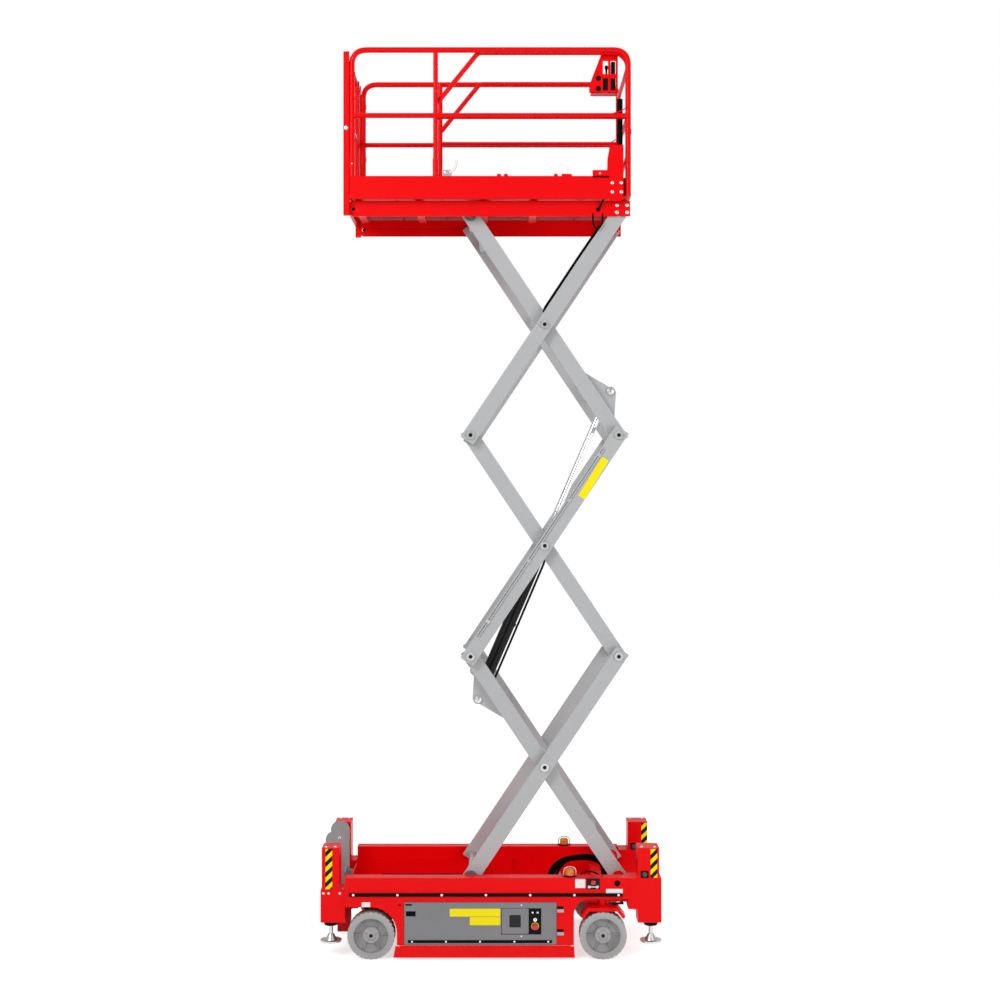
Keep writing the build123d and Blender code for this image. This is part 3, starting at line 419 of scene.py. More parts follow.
def tube(points, radius, sides=12, corner=0.03, lean=(0, 1, 0), ribPitch=0.0, ribDepth=0.12):
    # A circle carried along a path; ribs vary its radius by 1 + depth sin(2 pi s / pitch)
    path = softPath(points, corner)
    if ribPitch:
        step = np.linalg.norm(np.diff(path, axis=0), axis=1)
        run = np.concatenate([[0], np.cumsum(step)])
        even = np.linspace(0, run[-1], int(run[-1] / ribPitch * 6))
        path = np.stack([np.interp(even, run, path[:, k]) for k in range(3)], 1)
        radii = radius * (1 + ribDepth * np.sin(2 * np.pi * even / ribPitch))
    else:
        radii = np.full(len(path), radius)
    tangent = np.gradient(path, axis=0)
    tangent /= np.linalg.norm(tangent, axis=1)[:, None]
    side = np.cross(tangent, np.array(lean, float))
    side /= np.linalg.norm(side, axis=1)[:, None]
    other = np.cross(side, tangent)
    angle = np.arange(sides) * 2 * np.pi / sides
    circle = (np.cos(angle)[None, :, None] * side[:, None]
              + np.sin(angle)[None, :, None] * other[:, None])
    verts = (path[:, None] + radii[:, None, None] * circle).reshape(-1, 3)
    return form(verts, gridQuads(len(path), sides), endCaps(len(path), sides))


def bolt(centre, radius, height, axis=outward):
    # A round washer and a six-sided head with a chamfered top
    washer = turned([(0, radius * 1.5), (0.0015, radius * 1.5), (0.002, radius * 1.4)],
                    centre, axis, 20)
    head = turned([(0.001, radius), (height * 0.75, radius), (height, radius * 0.82)],
                  centre, axis, 6)
    return [washer, head]


def dome(centre, radius, height):
    # A button head: r = radius cos(a), t = height sin(a)
    angle = np.linspace(0, 1.35, 6)[1:]
    rows = [(0, radius), *zip(height * np.sin(angle), radius * np.cos(angle))]
    return turned(rows, centre, outward, 16)


def collar(centre, axis, inner, outer, low, high, edge=0.001, count=36):
    # A ring of rectangular section with chamfered outer edges
    return turned([(low, inner), (low, outer - edge), (low + edge, outer), (high - edge, outer),
                   (high, outer - edge), (high, inner)], centre, axis, count, ring=True)


def mirrored(shape):
    # The same form on the far side, with y taken to -y and its faces turned back out
    verts, quads, caps = shape
    return form(verts * np.array((1, -1, 1)), quads, caps)


# The finishes that stand for each of the record's material slots, unless a piece names another
slotFinishes = dict(
    red_paint=("redPaint", "stopRed", "white", "tape", "orange"), black_rubber=("rubber",),
    zinc=("zinc", "brightZinc", "chrome"), black_plastic=("plastic", "sign", "screen", "darkGrey"),
    black_steel=("blackSteel",), rim_grey=("rim",), tyre_grey=("tyre",), door_grey=("doorGrey",),
    grey_paint=("armGrey",))
finishSlot = {finishName: slot for slot, names in slotFinishes.items() for finishName in names}


def piece(name, forms, finishName, body="chassis", slotName=None):
    # Joins forms in one mesh, smooths it below an angle, and lets it ride on its body
    verts, faces, offset = [], [], 0
    for shape, quads, caps in forms:
        verts.append(shape)
        faces += (quads + offset).tolist() + [[index + offset for index in cap] for cap in caps]
        offset += len(shape)
    mesh = bpy.data.meshes.new(name)
    mesh.from_pydata(np.concatenate(verts).tolist(), [], faces)
    mesh.materials.append(finish[finishName])
    mesh.polygons.foreach_set("use_smooth", np.ones(len(faces), bool))
    mesh.set_sharp_from_angle(angle=math.radians(35))
    made = bpy.data.objects.new(name, mesh)
    bpy.context.scene.collection.objects.link(made)
    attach(made, body)
    slotName = slotName or finishSlot[finishName]
    return made


def bothSides(forms):
    return list(forms) + [mirrored(shape) for shape in forms]


def onSide(sideName, forms):
    return forms if sideName == "near" else [mirrored(shape) for shape in forms]


def plates(boxes, low, high, *edges):
    # Plates in XZ, one for each (x0, x1, z0, z1), between two y values
    return [plateBox(x0, x1, low, high, z0, z1, *edges) for x0, x1, z0, z1 in boxes]


sideNames = ("near", "far")
face = -0.600   # outer face of the near side's panels and doors

# Side strips, labels, and small things on the chassis panels
panel = dict(stripY=-0.609, boltStart=-1.045, boltPitch=0.336, boltZ=0.495, hole=(0.961, face, 0.583),
             labels=[(-0.9815, -0.9165, 0.402, 0.438), (0.642, 0.718, 0.547, 0.615),
                     (0.876, 1.003, 0.505, 0.540)],
             slot=(-0.707, -0.681, 0.412, 0.422), holeRadius=0.023, hingesZ=(0.188, 0.362),
             hingeX=(0.504, 0.553), leafX=(0.506, 0.555), leafHeight=0.023, screwsX=(0.518, 0.543))
stripBolts = [dome((panel["boltStart"] + panel["boltPitch"] * k, panel["stripY"], panel["boltZ"]),
                   0.010, 0.005) for k in range(7)]
piece("strip_bolts", bothSides(stripBolts), "brightZinc")
labels = plates(panel["labels"], face - 0.0008, face, 0.0002, 0.005)
piece("blank_labels", bothSides(labels), "white")
radius = panel["holeRadius"]
# Black sheets for the slot, the hole and the hinge recesses: painted shade of these openings
openingShades = plates([panel["slot"]], face - 0.0012, face, 0.0003, 0.004)
openingShades.append(turned([(0, radius), (0.001, radius), (0.0014, radius - 0.001)], panel["hole"]))
leaves = []
for z in panel["hingesZ"]:
    openingShades += plates([(*panel["hingeX"], z + 0.026, z + 0.046)], face - 0.0009, face, 0.0003, 0.003)
    leaves += plates([(*panel["leafX"], z, z + panel["leafHeight"])], face - 0.005, face, 0.0008, 0.004)
    leaves += [dome((x, face - 0.005, z + panel["leafHeight"] / 2), 0.004, 0.002)
               for x in panel["screwsX"]]
piece("panel_opening_shades", bothSides(openingShades), "rubber")
holeRim = [collar(panel["hole"], outward, radius, radius + 0.004, 0, 0.002)]
piece("hole_rims", bothSides(holeRim), "redPaint")
# The hinge leaves are door grey, drawn in the lighter arm grey as painted light to brighten them
piece("hinge_leaves", bothSides(leaves), "armGrey", "chassis", "door_grey")

# Valve pocket of the near side: a black sheet as its back, painted shade of the recess, a folded rim,
# fittings and the release knob
valve = dict(pocket=(0.727, 0.829, 0.537, 0.620), lip=0.004, fittingZ=0.556, half=0.030, knobZ=0.590)
x0, x1, z0, z1 = valve["pocket"]
middle, lip, back = (x0 + x1) / 2, valve["lip"], face - 0.0009
piece("valve_pocket_shade", plates([valve["pocket"]], back, face, 0.0002, 0.004), "blackSteel")
rim = plates([(x0 - lip, x0, z0 - lip, z1), (x1, x1 + lip, z0 - lip, z1), (x0, x1, z0 - lip, z0)],
             face - 0.003, face)
piece("valve_rim", rim, "redPaint")
fittings = [turned([(0, 0.012), (0.006, 0.012), (0.008, 0.008)],
                   (middle + dx, back, valve["fittingZ"]), outward, 6)
            for dx in (-valve["half"], valve["half"])]
fittings.append(plateBox(middle - valve["half"], middle + valve["half"], face - 0.006, back,
                         0.551, 0.561, 0.0015))
piece("release_valve", fittings, "zinc")
knobProfile = [(0, 0.012), (0.006, 0.012), (0.008, 0.018), (0.015, 0.018), (0.018, 0.013)]
piece("release_knob", [turned(knobProfile, (middle, back, valve["knobZ"]))], "stopRed")
print("chassis panels dressed")

# Doors: rub strip, its bolts, handle, screws, blank signs
door = dict(boltsX=(-0.599, -0.341, -0.082, 0.179, 0.436), strip=(-0.630, 0.465, 0.129, 0.151),
            boltZ=0.140, screws=((0.2326, 0.415), (0.2326, 0.180)),
            handle=(-0.645, -0.573, 0.332, 0.368), slot=(-0.650, -0.600, 0.412, 0.425),
            seams=[(-0.656, 0.492, 0.434, 0.437), (-0.656, 0.492, 0.117, 0.120)],
            signs=[(-0.312, 0.072, 0.330, 0.389), (-0.160, 0.072, 0.264, 0.326)])
for sideName in sideNames:
    body = "door_" + sideName
    x0, x1, z0, z1 = door["handle"]
    strip = plates([door["strip"]], face - 0.004, face, 0.001, 0.004)
    strip += plates([door["handle"]], face + 0.004, face + 0.009, 0.001, 0.008)
    strip += plates([(x0 + 0.012, x1 - 0.012, z0 + 0.010, z1 - 0.004)], face + 0.001, face + 0.005,
                    0.001, 0.006)
    # A black sheet for the slot above the handle: painted shade of the slot
    strip += plates([door["slot"]], face - 0.001, face, 0.0003, 0.005)
    piece(body + "_strip", onSide(sideName, strip), "rubber", body)
    heads = [dome((x, face - 0.004, door["boltZ"]), 0.008, 0.004) for x in door["boltsX"]]
    heads += [dome((x, face, z), 0.006, 0.003) for x, z in door["screws"]]
    piece(body + "_bolts", onSide(sideName, heads), "brightZinc", body)
    seam = plates(door["seams"], face - 0.0016, face, 0.0004)
    piece(body + "_edges", onSide(sideName, seam), "doorGrey", body)
signs = plates(door["signs"], face - 0.001, face, 0.0003, 0.006)
piece("door_signs", signs, "sign", "door_near", "door_grey")

# Ground control: display, key, stop button with its yellow ring, and the cover plate
control = dict(y=-0.592, cover=(0.083, 0.288, 0.197, 0.390), screen=(0.142, 0.227, 0.248, 0.341),
               stopX=0.337, stopZ=0.254, keyZ=0.306, lampsX=(0.318, 0.356), lampZ=0.358)
y, x, lampZ = control["y"], control["stopX"], control["lampZ"]
cover = plates([control["cover"]], y - 0.006, y, 0.0015, 0.010)
cover += [dome((screwX, y - 0.006, screwZ), 0.005, 0.002)
          for screwX in (0.094, 0.277) for screwZ in (0.208, 0.379)]
piece("control_cover", cover, "doorGrey")
screen = plates([control["screen"]], y - 0.009, y - 0.006, 0.001, 0.006)
piece("control_screen", screen, "screen")
stop = (x, y, control["stopZ"])
piece("stop_ring", [collar(stop, outward, 0.0245, 0.0295, 0, 0.003)], "sign")
capProfile = [(0.012, 0.0246), (0.020, 0.0250), (0.024, 0.0235), (0.026, 0.018), (0.027, 0.008)]
piece("stop_cap", [turned(capProfile, stop, outward)], "stopRed")
keyForms = [collar((x, y, control["keyZ"]), outward, 0.0055, 0.0145, 0.008, 0.014),
            plateBox(0.3355, 0.3385, y - 0.028, y - 0.011, 0.299, 0.313)]
keyForms += [collar((x, y, lampZ), outward, 0.003, 0.008, 0, 0.003) for x in control["lampsX"]]
keyForms += [tube([(x, y, lampZ), (x, y - 0.014, lampZ + 0.004)], 0.0028, lean=(1, 0, 0))
             for x in control["lampsX"]]
piece("control_key", keyForms, "chrome")
print("doors and ground control dressed")

# Towers: chevron tape, ledge and top bolts, plugs of the jack motors
tower = dict(outerY=-0.577, innerY=0.397, rearX=-1.288, frontX=1.283, topZ=0.846,
             tapes=[(-1.2595, -1.208, 0.532, 0.838), (1.2165, 1.268, 0.619, 0.838)],
             farTape=(1.234, 1.281, 0.664, 0.838), endTapeY=(0.560, 0.508), endTapeTop=0.835)
tapes = bothSides(plates(tower["tapes"], tower["outerY"] - 0.0007, tower["outerY"], 0.0002))
tapes += plates([tower["farTape"]], tower["innerY"] - 0.0007, tower["innerY"], 0.0002)
y0, y1 = tower["endTapeY"]
for low, high, bottom in ((tower["rearX"] - 0.0007, tower["rearX"], 0.545),
                          (tower["frontX"], tower["frontX"] + 0.0007, 0.625)):
    tapes += [slab([(side * y0, bottom), (side * y1, bottom), (side * y1, tower["endTapeTop"]),
                    (side * y0, tower["endTapeTop"])], low, high, 0.0002, "yz") for side in (-1, 1)]
piece("tower_tape", tapes, "tape")
studs = []
for place, axis, radius, height in (*(((x, -0.556, 0.530), up, 0.006, 0.007) for x in (-1.286, -1.128)),
        *(((x, -0.545, tower["topZ"]), up, 0.008, 0.008) for x in (-1.26, -1.19, 1.15, 1.25)),
        *(((x, tower["outerY"], 0.500), outward, 0.006, 0.005) for x in (-1.275, -1.235, -1.150))):
    studs += bolt(place, radius, height, axis)
piece("tower_bolts", bothSides(studs), "brightZinc")
# Motor plugs in the front towers, and the works that show in the rear towers' inner faces
plug = dict(x=1.172, z=0.645, half=0.030, halfHeight=0.028, radius=0.019)
x, z, radius = plug["x"], plug["z"], plug["radius"]
plugForms, dark = [], []
# Black sheets round the plugs and in the rear towers' inner faces: painted shade of the openings there
for faceY, axis in ((-0.577, outward), (0.397, outward), (-0.397, inward), (0.577, inward)):
    dark.append(plateBox(x - plug["half"], x + plug["half"], faceY, faceY + axis[1] * 0.0012,
                         z - plug["halfHeight"], z + plug["halfHeight"], 0.0003))
    plugForms.append(turned([(0.001, radius), (0.008, radius), (0.010, radius - 0.003),
                             (0.010, 0.010), (0.014, 0.009)], (x, faceY, z), axis, 24))
for side in (-1, 1):
    dark.append(plateBox(-1.275, -1.168, side * 0.397, side * 0.3955, 0.535, 0.830, 0.0003, 0.006))
piece("tower_opening_shades", dark, "rubber")
piece("tower_plugs", plugForms, "darkGrey")
works = [turned([(0, 0.016), (0.06, 0.016), (0.065, 0.012), (0.22, 0.012), (0.225, 0.008),
                 (0.25, 0.008)], (-1.2225, -0.384, 0.550), up, 28)]
for z in (0.560, 0.800):
    works += bolt((-1.196, -0.3955, z), 0.006, 0.006, inward)
piece("tower_works", bothSides(works), "armGrey")
strips = [plateBox(-1.1665, -1.1605, -0.397, -0.3945, 0.60, 0.78, 0.0006)]
piece("tower_reflectors", bothSides(strips), "orange")

# Red outrigger brackets seen past the rear wheels, under the floor's rear end
brackets = bothSides([plateBox(-1.187, -1.088, -0.400, -0.290, 0.160, 0.420, 0.003)])
piece("rear_brackets", brackets, "redPaint")

# Wide rubber collars round the boots
boot = dict(x=1.226, y=-0.487, low=0.240, top=0.277, inner=0.0325)
low, top, inner = boot["low"], boot["top"], boot["inner"]
boots = [turned([(low, inner), (low, 0.048), (low + 0.003, 0.051), (top - 0.010, 0.060),
                 (top, 0.062), (top, inner)], (side * boot["x"], boot["y"], 0), up, 40, ring=True)
         for side in (-1, 1)]
piece("boot_collars", bothSides(boots), "rubber")

# Sloped ends of the pothole guards
guard = dict(rear=-0.725, rearFlare=-0.742, front=0.634, frontFlare=0.640, top=0.100,
             frontTop=0.080, low=0.017)
low = guard["low"]
for sideName in sideNames:
    ends = [slab([(guard["rear"], guard["top"]), (guard["rearFlare"], low), (guard["rear"], low)],
                 face, -0.594, 0.0004),
            slab([(guard["front"], guard["frontTop"]), (guard["frontFlare"], low),
                  (guard["front"], low)], face, -0.594, 0.0004)]
    piece(f"guard_{sideName}_ends", onSide(sideName, ends), "redPaint", f"guard_{sideName}")

# Beacon bases with their two screws
beacon = dict(x=0.603, y=-0.545, z=0.623, screwGap=0.047)
bases = [turned([(0, 0.041), (0.008, 0.041), (0.011, 0.037), (0.011, 0.0355)],
                (beacon["x"], beacon["y"], beacon["z"]), up)]
bases += [turned([(0, 0.010), (0.004, 0.010), (0.006, 0.006)],
                 (beacon["x"] + side * beacon["screwGap"], beacon["y"], beacon["z"]), up, 16)
          for side in (-1, 1)]
piece("beacon_bases", bothSides(bases), "plastic")

ladderBolts = bolt((-1.190, -0.200, 0.560), 0.008, 0.007)
ladderBolts += bolt((-1.190, -0.200, 0.840), 0.008, 0.007)
piece("ladder_bolts", bothSides(ladderBolts), "brightZinc")
print("towers, beacons and ladder dressed")

# Wheels: hub cap with its bolts and nut, raised bands on the sidewall, spokes and lips of the rim
wheel = dict(places={"rear": -0.912, "front": 0.855}, z=0.180, hubY=-0.570, faceY=-0.592,
             capProfile=[(-0.004, 0.060), (0.004, 0.060), (0.007, 0.057), (0.007, 0.036),
                         (0.013, 0.033), (0.017, 0.030), (0.018, 0.020)],
             bolts=5, boltCircle=0.047, bands=(0.163, 0.170), spokes=6, spokeFrom=0.060,
             spokeTo=0.1335, spokeHalf=0.003)
inner, outer = wheel["spokeFrom"], wheel["spokeTo"]
for end, x in wheel["places"].items():
    for sideName in sideNames:
        body = f"wheel_{end}_{sideName}"
        centre, rimCentre = (x, wheel["hubY"], wheel["z"]), (x, wheel["faceY"], wheel["z"])
        cap = [turned(wheel["capProfile"], centre, outward, 40)]
        for k in range(wheel["bolts"]):
            angle = 2 * math.pi * (k + 0.25) / wheel["bolts"]
            cap += bolt((x + wheel["boltCircle"] * math.cos(angle), wheel["hubY"] - 0.007,
                         wheel["z"] + wheel["boltCircle"] * math.sin(angle)), 0.0055, 0.006)
        piece(body + "_hub", onSide(sideName, cap), "rim", body)
        nut = [turned([(0.018, 0.015), (0.022, 0.015), (0.024, 0.012)], centre, outward, 6)]
        piece(body + "_nut", onSide(sideName, nut), "blackSteel", body, "zinc")
        bands = [turned([(-0.004, r - 0.004), (0.0, r - 0.0025), (0.0014, r), (0.0, r + 0.0025),
                         (-0.004, r + 0.004)], rimCentre, outward, 90, ring=True)
                 for r in wheel["bands"]]
        piece(body + "_bands", onSide(sideName, bands), "tyre", body)
        ribs = [collar(rimCentre, outward, 0.1325, 0.147, -0.001, 0.003, 0.001, 90)]
        hub = np.array((x, wheel["z"]))
        for k in range(wheel["spokes"]):
            along = np.array((math.cos(k * math.pi / 3), math.sin(k * math.pi / 3)))
            aside = np.array((-along[1], along[0])) * wheel["spokeHalf"]
            corners = [hub + inner * along + aside, hub + outer * along + aside * 1.6,
                       hub + outer * along - aside * 1.6, hub + inner * along - aside]
            ribs.append(slab(corners, -0.536, -0.551, 0.0015))
        ribs.append(collar(rimCentre, outward, 0.100, 0.104, -0.0562, -0.052, 0.001, 60))
        piece(body + "_ribs", onSide(sideName, ribs), "rim", body)
print("wheels dressed")

# Tray: hoses, valve block and leads behind the lower arms
tray = dict(hoseZ=0.430, leadZ=0.433, leadY=(0.0, 0.016), blockLow=0.425, blockTop=0.492)
end = tray["hoseZ"]
arch = [tube([(0.45, -0.20, end), (0.455, -0.20, 0.56), (0.53, -0.20, 0.665), (0.70, -0.20, 0.700),
              (0.86, -0.19, 0.690), (0.90, -0.17, 0.60), (0.90, -0.16, end)], 0.021, corner=0.09,
             ribPitch=0.012, sides=14)]
arch += [tube([(0.48 + dx, y, end), (0.485 + dx, y, 0.55), (0.56 + dx, y, 0.650), (0.72, y, 0.672),
               (0.86, y, 0.650), (0.885, y, 0.55), (0.885, y, end)], 0.011, corner=0.08)
         for dx, y in ((0.0, -0.155), (0.03, -0.128))]
arch += [tube([(0.62, -0.24, end), (0.68, -0.24, 0.55), (0.76, -0.24, 0.60), (0.86, -0.24, 0.56),
               (0.90, -0.24, end)], 0.006, corner=0.06)]
bundle = piece("tray_hoses", arch, "rubber")
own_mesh(bundle)
leads = [tube([(x, y + dy, tray["leadZ"]) for x, y in
               ((-0.9, 0.30), (-0.2, 0.30), (0.3, 0.22), (0.52, 0.10))],
              0.0065, corner=0.15, lean=up) for dy in tray["leadY"]]
piece("tray_leads", leads, "rubber")
block = [slab([(0.50, -0.10), (0.66, -0.10), (0.66, 0.06), (0.50, 0.06)], tray["blockLow"],
              tray["blockTop"], 0.002, "xy")]
block += [turned([(0, 0.016), (0.02, 0.016), (0.022, 0.012), (0.034, 0.012)],
                 (x, y, tray["blockTop"] - 0.001), up, 20) for x in (0.54, 0.62) for y in (-0.06, 0.02)]
piece("valve_block", block, "zinc")
print("tray dressed")

# Scissor: plugs and weld rings at the pins; a level is one crossing's height
stack = dict(fixedX=0.984, slideX=-0.1564, midX=0.4138, baseZ=0.588, rise=1.7035, armFace=-0.455,
             pinFace=-0.469, slope=math.radians(56.2))
cosSlope, sinSlope = math.cos(stack["slope"]), math.sin(stack["slope"])
pins = {"outer_1": [(stack["midX"], 0.5), (stack["fixedX"], 1)],
        "outer_2": [(stack["slideX"], 1), (stack["midX"], 1.5), (stack["fixedX"], 2)],
        "outer_3": [(stack["slideX"], 2), (stack["midX"], 2.5)]}
for body, places in pins.items():
    plugs, welds = [], []
    for x, level in places:
        z = stack["baseZ"] + level * stack["rise"]
        plugs.append(turned([(-0.006, 0.0149), (-0.003, 0.0149), (-0.002, 0.012)],
                            (x, stack["pinFace"], z), outward, 28))
        welds.append(turned([(0.0, 0.0335), (0.0, 0.0385), (0.0025, 0.036), (0.004, 0.0335)],
                            (x, stack["armFace"], z), outward, 40, ring=True))
    piece(body + "_pin_plugs", bothSides(plugs), "blackSteel", body)
    piece(body + "_pin_welds", bothSides(welds), "armGrey", body)


def alongArm(level, along, across):
    # A point of a rising arm: start + along (cos, sin) + across (-sin, cos)
    return (stack["slideX"] + along * cosSlope - across * sinSlope,
            stack["baseZ"] + level * stack["rise"] + along * sinSlope + across * cosSlope)


def armLine(level, y, pairs, radius, **more):
    points = [(x, y, z) for x, z in (alongArm(level, a, c) for a, c in pairs)]
    return tube(points, radius, **more)


# Thin pipes along the second outer arm, the ribbed conduit along the third one
pipes = [armLine(1, -0.4610, [(0.16, across), (1.90, across)], 0.0065) for across in (0.051, 0.034)]
piece("arm_pipes", pipes, "armGrey", "outer_2")
clips = []
for along in (0.30, 0.86, 1.42, 1.84):
    corners = [alongArm(1, along + a, c) for a, c in
               ((-0.012, 0.024), (0.012, 0.024), (0.012, 0.0575), (-0.012, 0.0575))]
    clips.append(slab(corners, -0.4685, stack["armFace"], 0.001))
piece("arm_pipe_clips", clips, "zinc", "outer_2")
conduit = [armLine(2, -0.430, [(1.10, 0.058), (1.13, 0.070), (1.60, 0.072), (1.86, 0.070),
                               (1.93, 0.058)], 0.011, corner=0.03, ribPitch=0.009)]
piece("arm_conduit", conduit, "rubber", "outer_3")
label = [(0.8569, 3.8298), (0.9061, 3.7983), (0.7200, 3.4998), (0.6731, 3.5314)]
piece("arm_label", [slab(label, -0.4558, stack["armFace"], 0.0002)], "sign", "outer_2", "grey_paint")

# Hose, pipe and bands on the cylinder's barrel, and keepers on its pins
cylinder = dict(x=-0.1000, z=1.9466, headX=0.9276, headZ=4.340, length=2.6047, keeperY=-0.346,
                hose=((0.14, 0.052), (0.17, 0.068), (0.60, 0.068), (1.18, 0.066), (1.23, 0.048)))
lineX = (cylinder["headX"] - cylinder["x"]) / cylinder["length"]
lineZ = (cylinder["headZ"] - cylinder["z"]) / cylinder["length"]


def alongCylinder(along, y=0.0, across=0.0):
    return (cylinder["x"] + along * lineX + across * lineZ, y,
            cylinder["z"] + along * lineZ - across * lineX)


barrelHose = [tube([alongCylinder(along, 0.0, across) for along, across in cylinder["hose"]], 0.009,
                   corner=0.04)]
barrelHose += [tube([alongCylinder(0.12, -0.058), alongCylinder(1.24, -0.058)], 0.005)]
piece("barrel_hose", barrelHose, "rubber", "barrel")
bands = [collar(alongCylinder(along), (lineX, 0, lineZ), *sizes) for along, sizes in
         ((0.10, (0.0498, 0.056, -0.012, 0.012)), (0.62, (0.0498, 0.056, -0.012, 0.012)),
          (1.27, (0.0498, 0.056, -0.012, 0.012)), (1.315, (0.030, 0.046, -0.001, 0.014)))]
piece("barrel_bands", bands, "blackSteel", "barrel")
for body, x, z in (("inner_1", cylinder["x"], cylinder["z"]),
                   ("inner_3", cylinder["headX"], cylinder["headZ"])):
    keeper = [turned([(0.0, 0.026), (0.003, 0.026), (0.004, 0.024)], (x, cylinder["keeperY"], z),
                     outward, 32)]
    keeper += bolt((x, cylinder["keeperY"] - 0.004, z), 0.009, 0.007)
    piece(body + "_keepers", bothSides(keeper), "zinc", body)
print("scissor stack dressed")

# Guardrails: bent loops with a middle rail, a post in its socket, and the rear end frame
rail = dict(rear=-1.064, front=1.052, y=-0.505, low=5.8206, mid=6.4416, top=6.9436,
            post=-0.424, socket=0.290, frameX=(-1.128, -1.083), frameTop=6.9276)
x0, x1 = rail["frameX"]
rear, front, post, y = rail["rear"], rail["front"], rail["post"], rail["y"]
low, mid, top, frameTop = rail["low"], rail["mid"], rail["top"], rail["frameTop"]
loops = [tube([(rear, y, low), (rear, y, top), (front, y, top), (front, y, low)], 0.021, sides=24,
              corner=0.115), tube([(rear, y, mid), (front, y, mid)], 0.019, sides=20),
         tube([(post, y, low), (post, y, top)], 0.018, sides=20, lean=(1, 0, 0)),
         collar((post, y, low), up, 0.0178, 0.0215, 0, rail["socket"]),
         plateBox(x0, x1, -0.530, -0.485, 5.6766, frameTop, 0.003),
         slab([(x1 - 0.001, low), (rear, low), (rear, 6.105), (x1 - 0.001, 6.160)],
              -0.520, -0.512, 0.001), plateBox(x0, x1, -0.371, -0.336, 5.7956, frameTop, 0.003)]
loops += [plateBox(x0 + 0.005, x0 + 0.035, -0.525, -0.336, z, z + 0.035, 0.003)
          for z in (mid, frameTop - 0.035)]
loops += [collar((x, y, z), up, 0.0205, 0.025, 0, 0.036)
          for x, z in ((rear, 6.300), (rear, 6.740), (front, 6.300))]
loops = bothSides(loops)
loops += [plateBox(x0, x0 + 0.024, -0.525, 0.525, 5.7606, 5.7956, 0.002),
          plateBox(x0 + 0.020, -1.080, -0.506, 0.506, 5.7956, 5.8016, 0.001)]
loops += [plateBox(x0 + 0.010, x0 + 0.035, -0.336, -0.3303, z, z + 0.06, 0.001)
          for z in (6.0006, 6.7776)]
guardrails = piece("guardrails", loops, "redPaint", "platform")
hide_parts("main_rails")

# Platform: cover plates, bolts, the seam under the toe board as a painted shadow line, clips and latch
deck = dict(beamY=-0.470, coverY=-0.474, boardY=-0.532, plateY=-0.537, seamY=-0.5266,
            boardTop=5.9737, clips=((0.047, 0.078), (0.100, 0.131), (0.482, 0.512), (0.540, 0.620)))
cover = [plateBox(0.922, 1.069, deck["coverY"], deck["beamY"], 5.677, 5.795, 0.001),
         plateBox(0.778, 0.906, deck["boardY"], -0.526, 5.960, 6.019, 0.0008),
         slab([(0.888, 5.973), (0.906, 5.973), (0.906, 6.185), (0.890, 6.100)],
              deck["plateY"], deck["boardY"], 0.0008)]
cover += plates([(x0, x1, deck["boardTop"] - 0.02, deck["boardTop"] + 0.016)
                 for x0, x1 in deck["clips"]], -0.5325, -0.5255, 0.001, 0.006)
piece("board_plates", bothSides(cover), "redPaint", "platform")
heads = []
for x in (0.969, 1.046):
    for z in (5.761, 5.706):
        heads += bolt((x, deck["coverY"], z), 0.009, 0.007)
for x in (0.9287, 0.9975):
    for z in (5.921, 5.851):
        heads += bolt((x, deck["plateY"], z), 0.008, 0.006)
heads += [dome((-1.0 + 0.2 * k, deck["seamY"], 5.8035), 0.004, 0.003) for k in range(10)]
for place, radius, height in (((-1.106, -0.530, 6.342), 0.010, 0.008),
                              ((-1.064, -0.520, 6.070), 0.007, 0.006),
                              ((0.835, deck["boardY"], 5.995), 0.005, 0.004)):
    heads += bolt(place, radius, height)
piece("platform_bolts", bothSides(heads), "brightZinc", "platform")
# Black dashes under the toe board: painted shadow of its overhang
seam = [plateBox(x, x + 0.19, deck["seamY"], -0.526, 5.8005, 5.8065, 0.0002)
        for x in (-1.07 + 0.2105 * k for k in range(10))]
seam.append(turned([(0, 0.013), (0.0006, 0.013)], (-1.056, deck["beamY"], 5.731), outward, 28))
seam.append(turned([(0, 0.016), (0.004, 0.016), (0.006, 0.012)],
                   (0.823, deck["beamY"], 5.726), outward, 28))
piece("deck_seam_shadow", bothSides(seam), "rubber", "platform")
latch = [plateBox(-0.366, -0.300, -0.531, -0.518, 5.965, 6.020, 0.002, 0.006),
         turned([(0, 0.014), (0.012, 0.014), (0.014, 0.010)], (-0.345, -0.531, 6.000), outward, 24)]
piece("deck_latch", latch, "zinc", "platform")
handle = [tube([(-0.318, -0.535, 6.000), (-0.290, -0.538, 6.012), (-0.266, -0.540, 6.045),
                (-0.260, -0.540, 6.095)], 0.009, corner=0.03)]
piece("latch_handle", handle, "white", "platform", "zinc")
rods = [tube(path, 0.0045, corner=0.02) for path in
        ([(-1.040, -0.505, 6.430), (-1.075, -0.520, 6.375), (-1.100, -0.528, 6.345)],
         [(1.052, -0.527, 6.505), (0.985, -0.527, 6.465), (0.940, -0.527, 6.455)])]
piece("latch_rods", bothSides(rods), "redPaint", "platform")
leads = [tube([(0.864, -0.522, 5.812), (0.855, -0.500, 5.780), (0.838, -0.488, 5.748),
               (0.823, -0.472, 5.728)], 0.008, corner=0.03, lean=(1, 0.3, 0), ribPitch=0.010),
         tube([(0.784, -0.464, 5.700), (0.784, -0.478, 5.63), (0.797, -0.481, 5.582),
               (0.830, -0.479, 5.578), (0.856, -0.476, 5.62), (0.860, -0.464, 5.70)], 0.007,
              corner=0.05, lean=(1, 0.3, 0), ribPitch=0.010)]
piece("platform_cable", leads, "rubber", "platform")
knuckles = [turned([(0, 0.014), (0.055, 0.014)], (-1.1175, 0.345, z), up, 20) for z in (6.02, 6.72)]
piece("gate_knuckles", knuckles, "zinc", "platform")

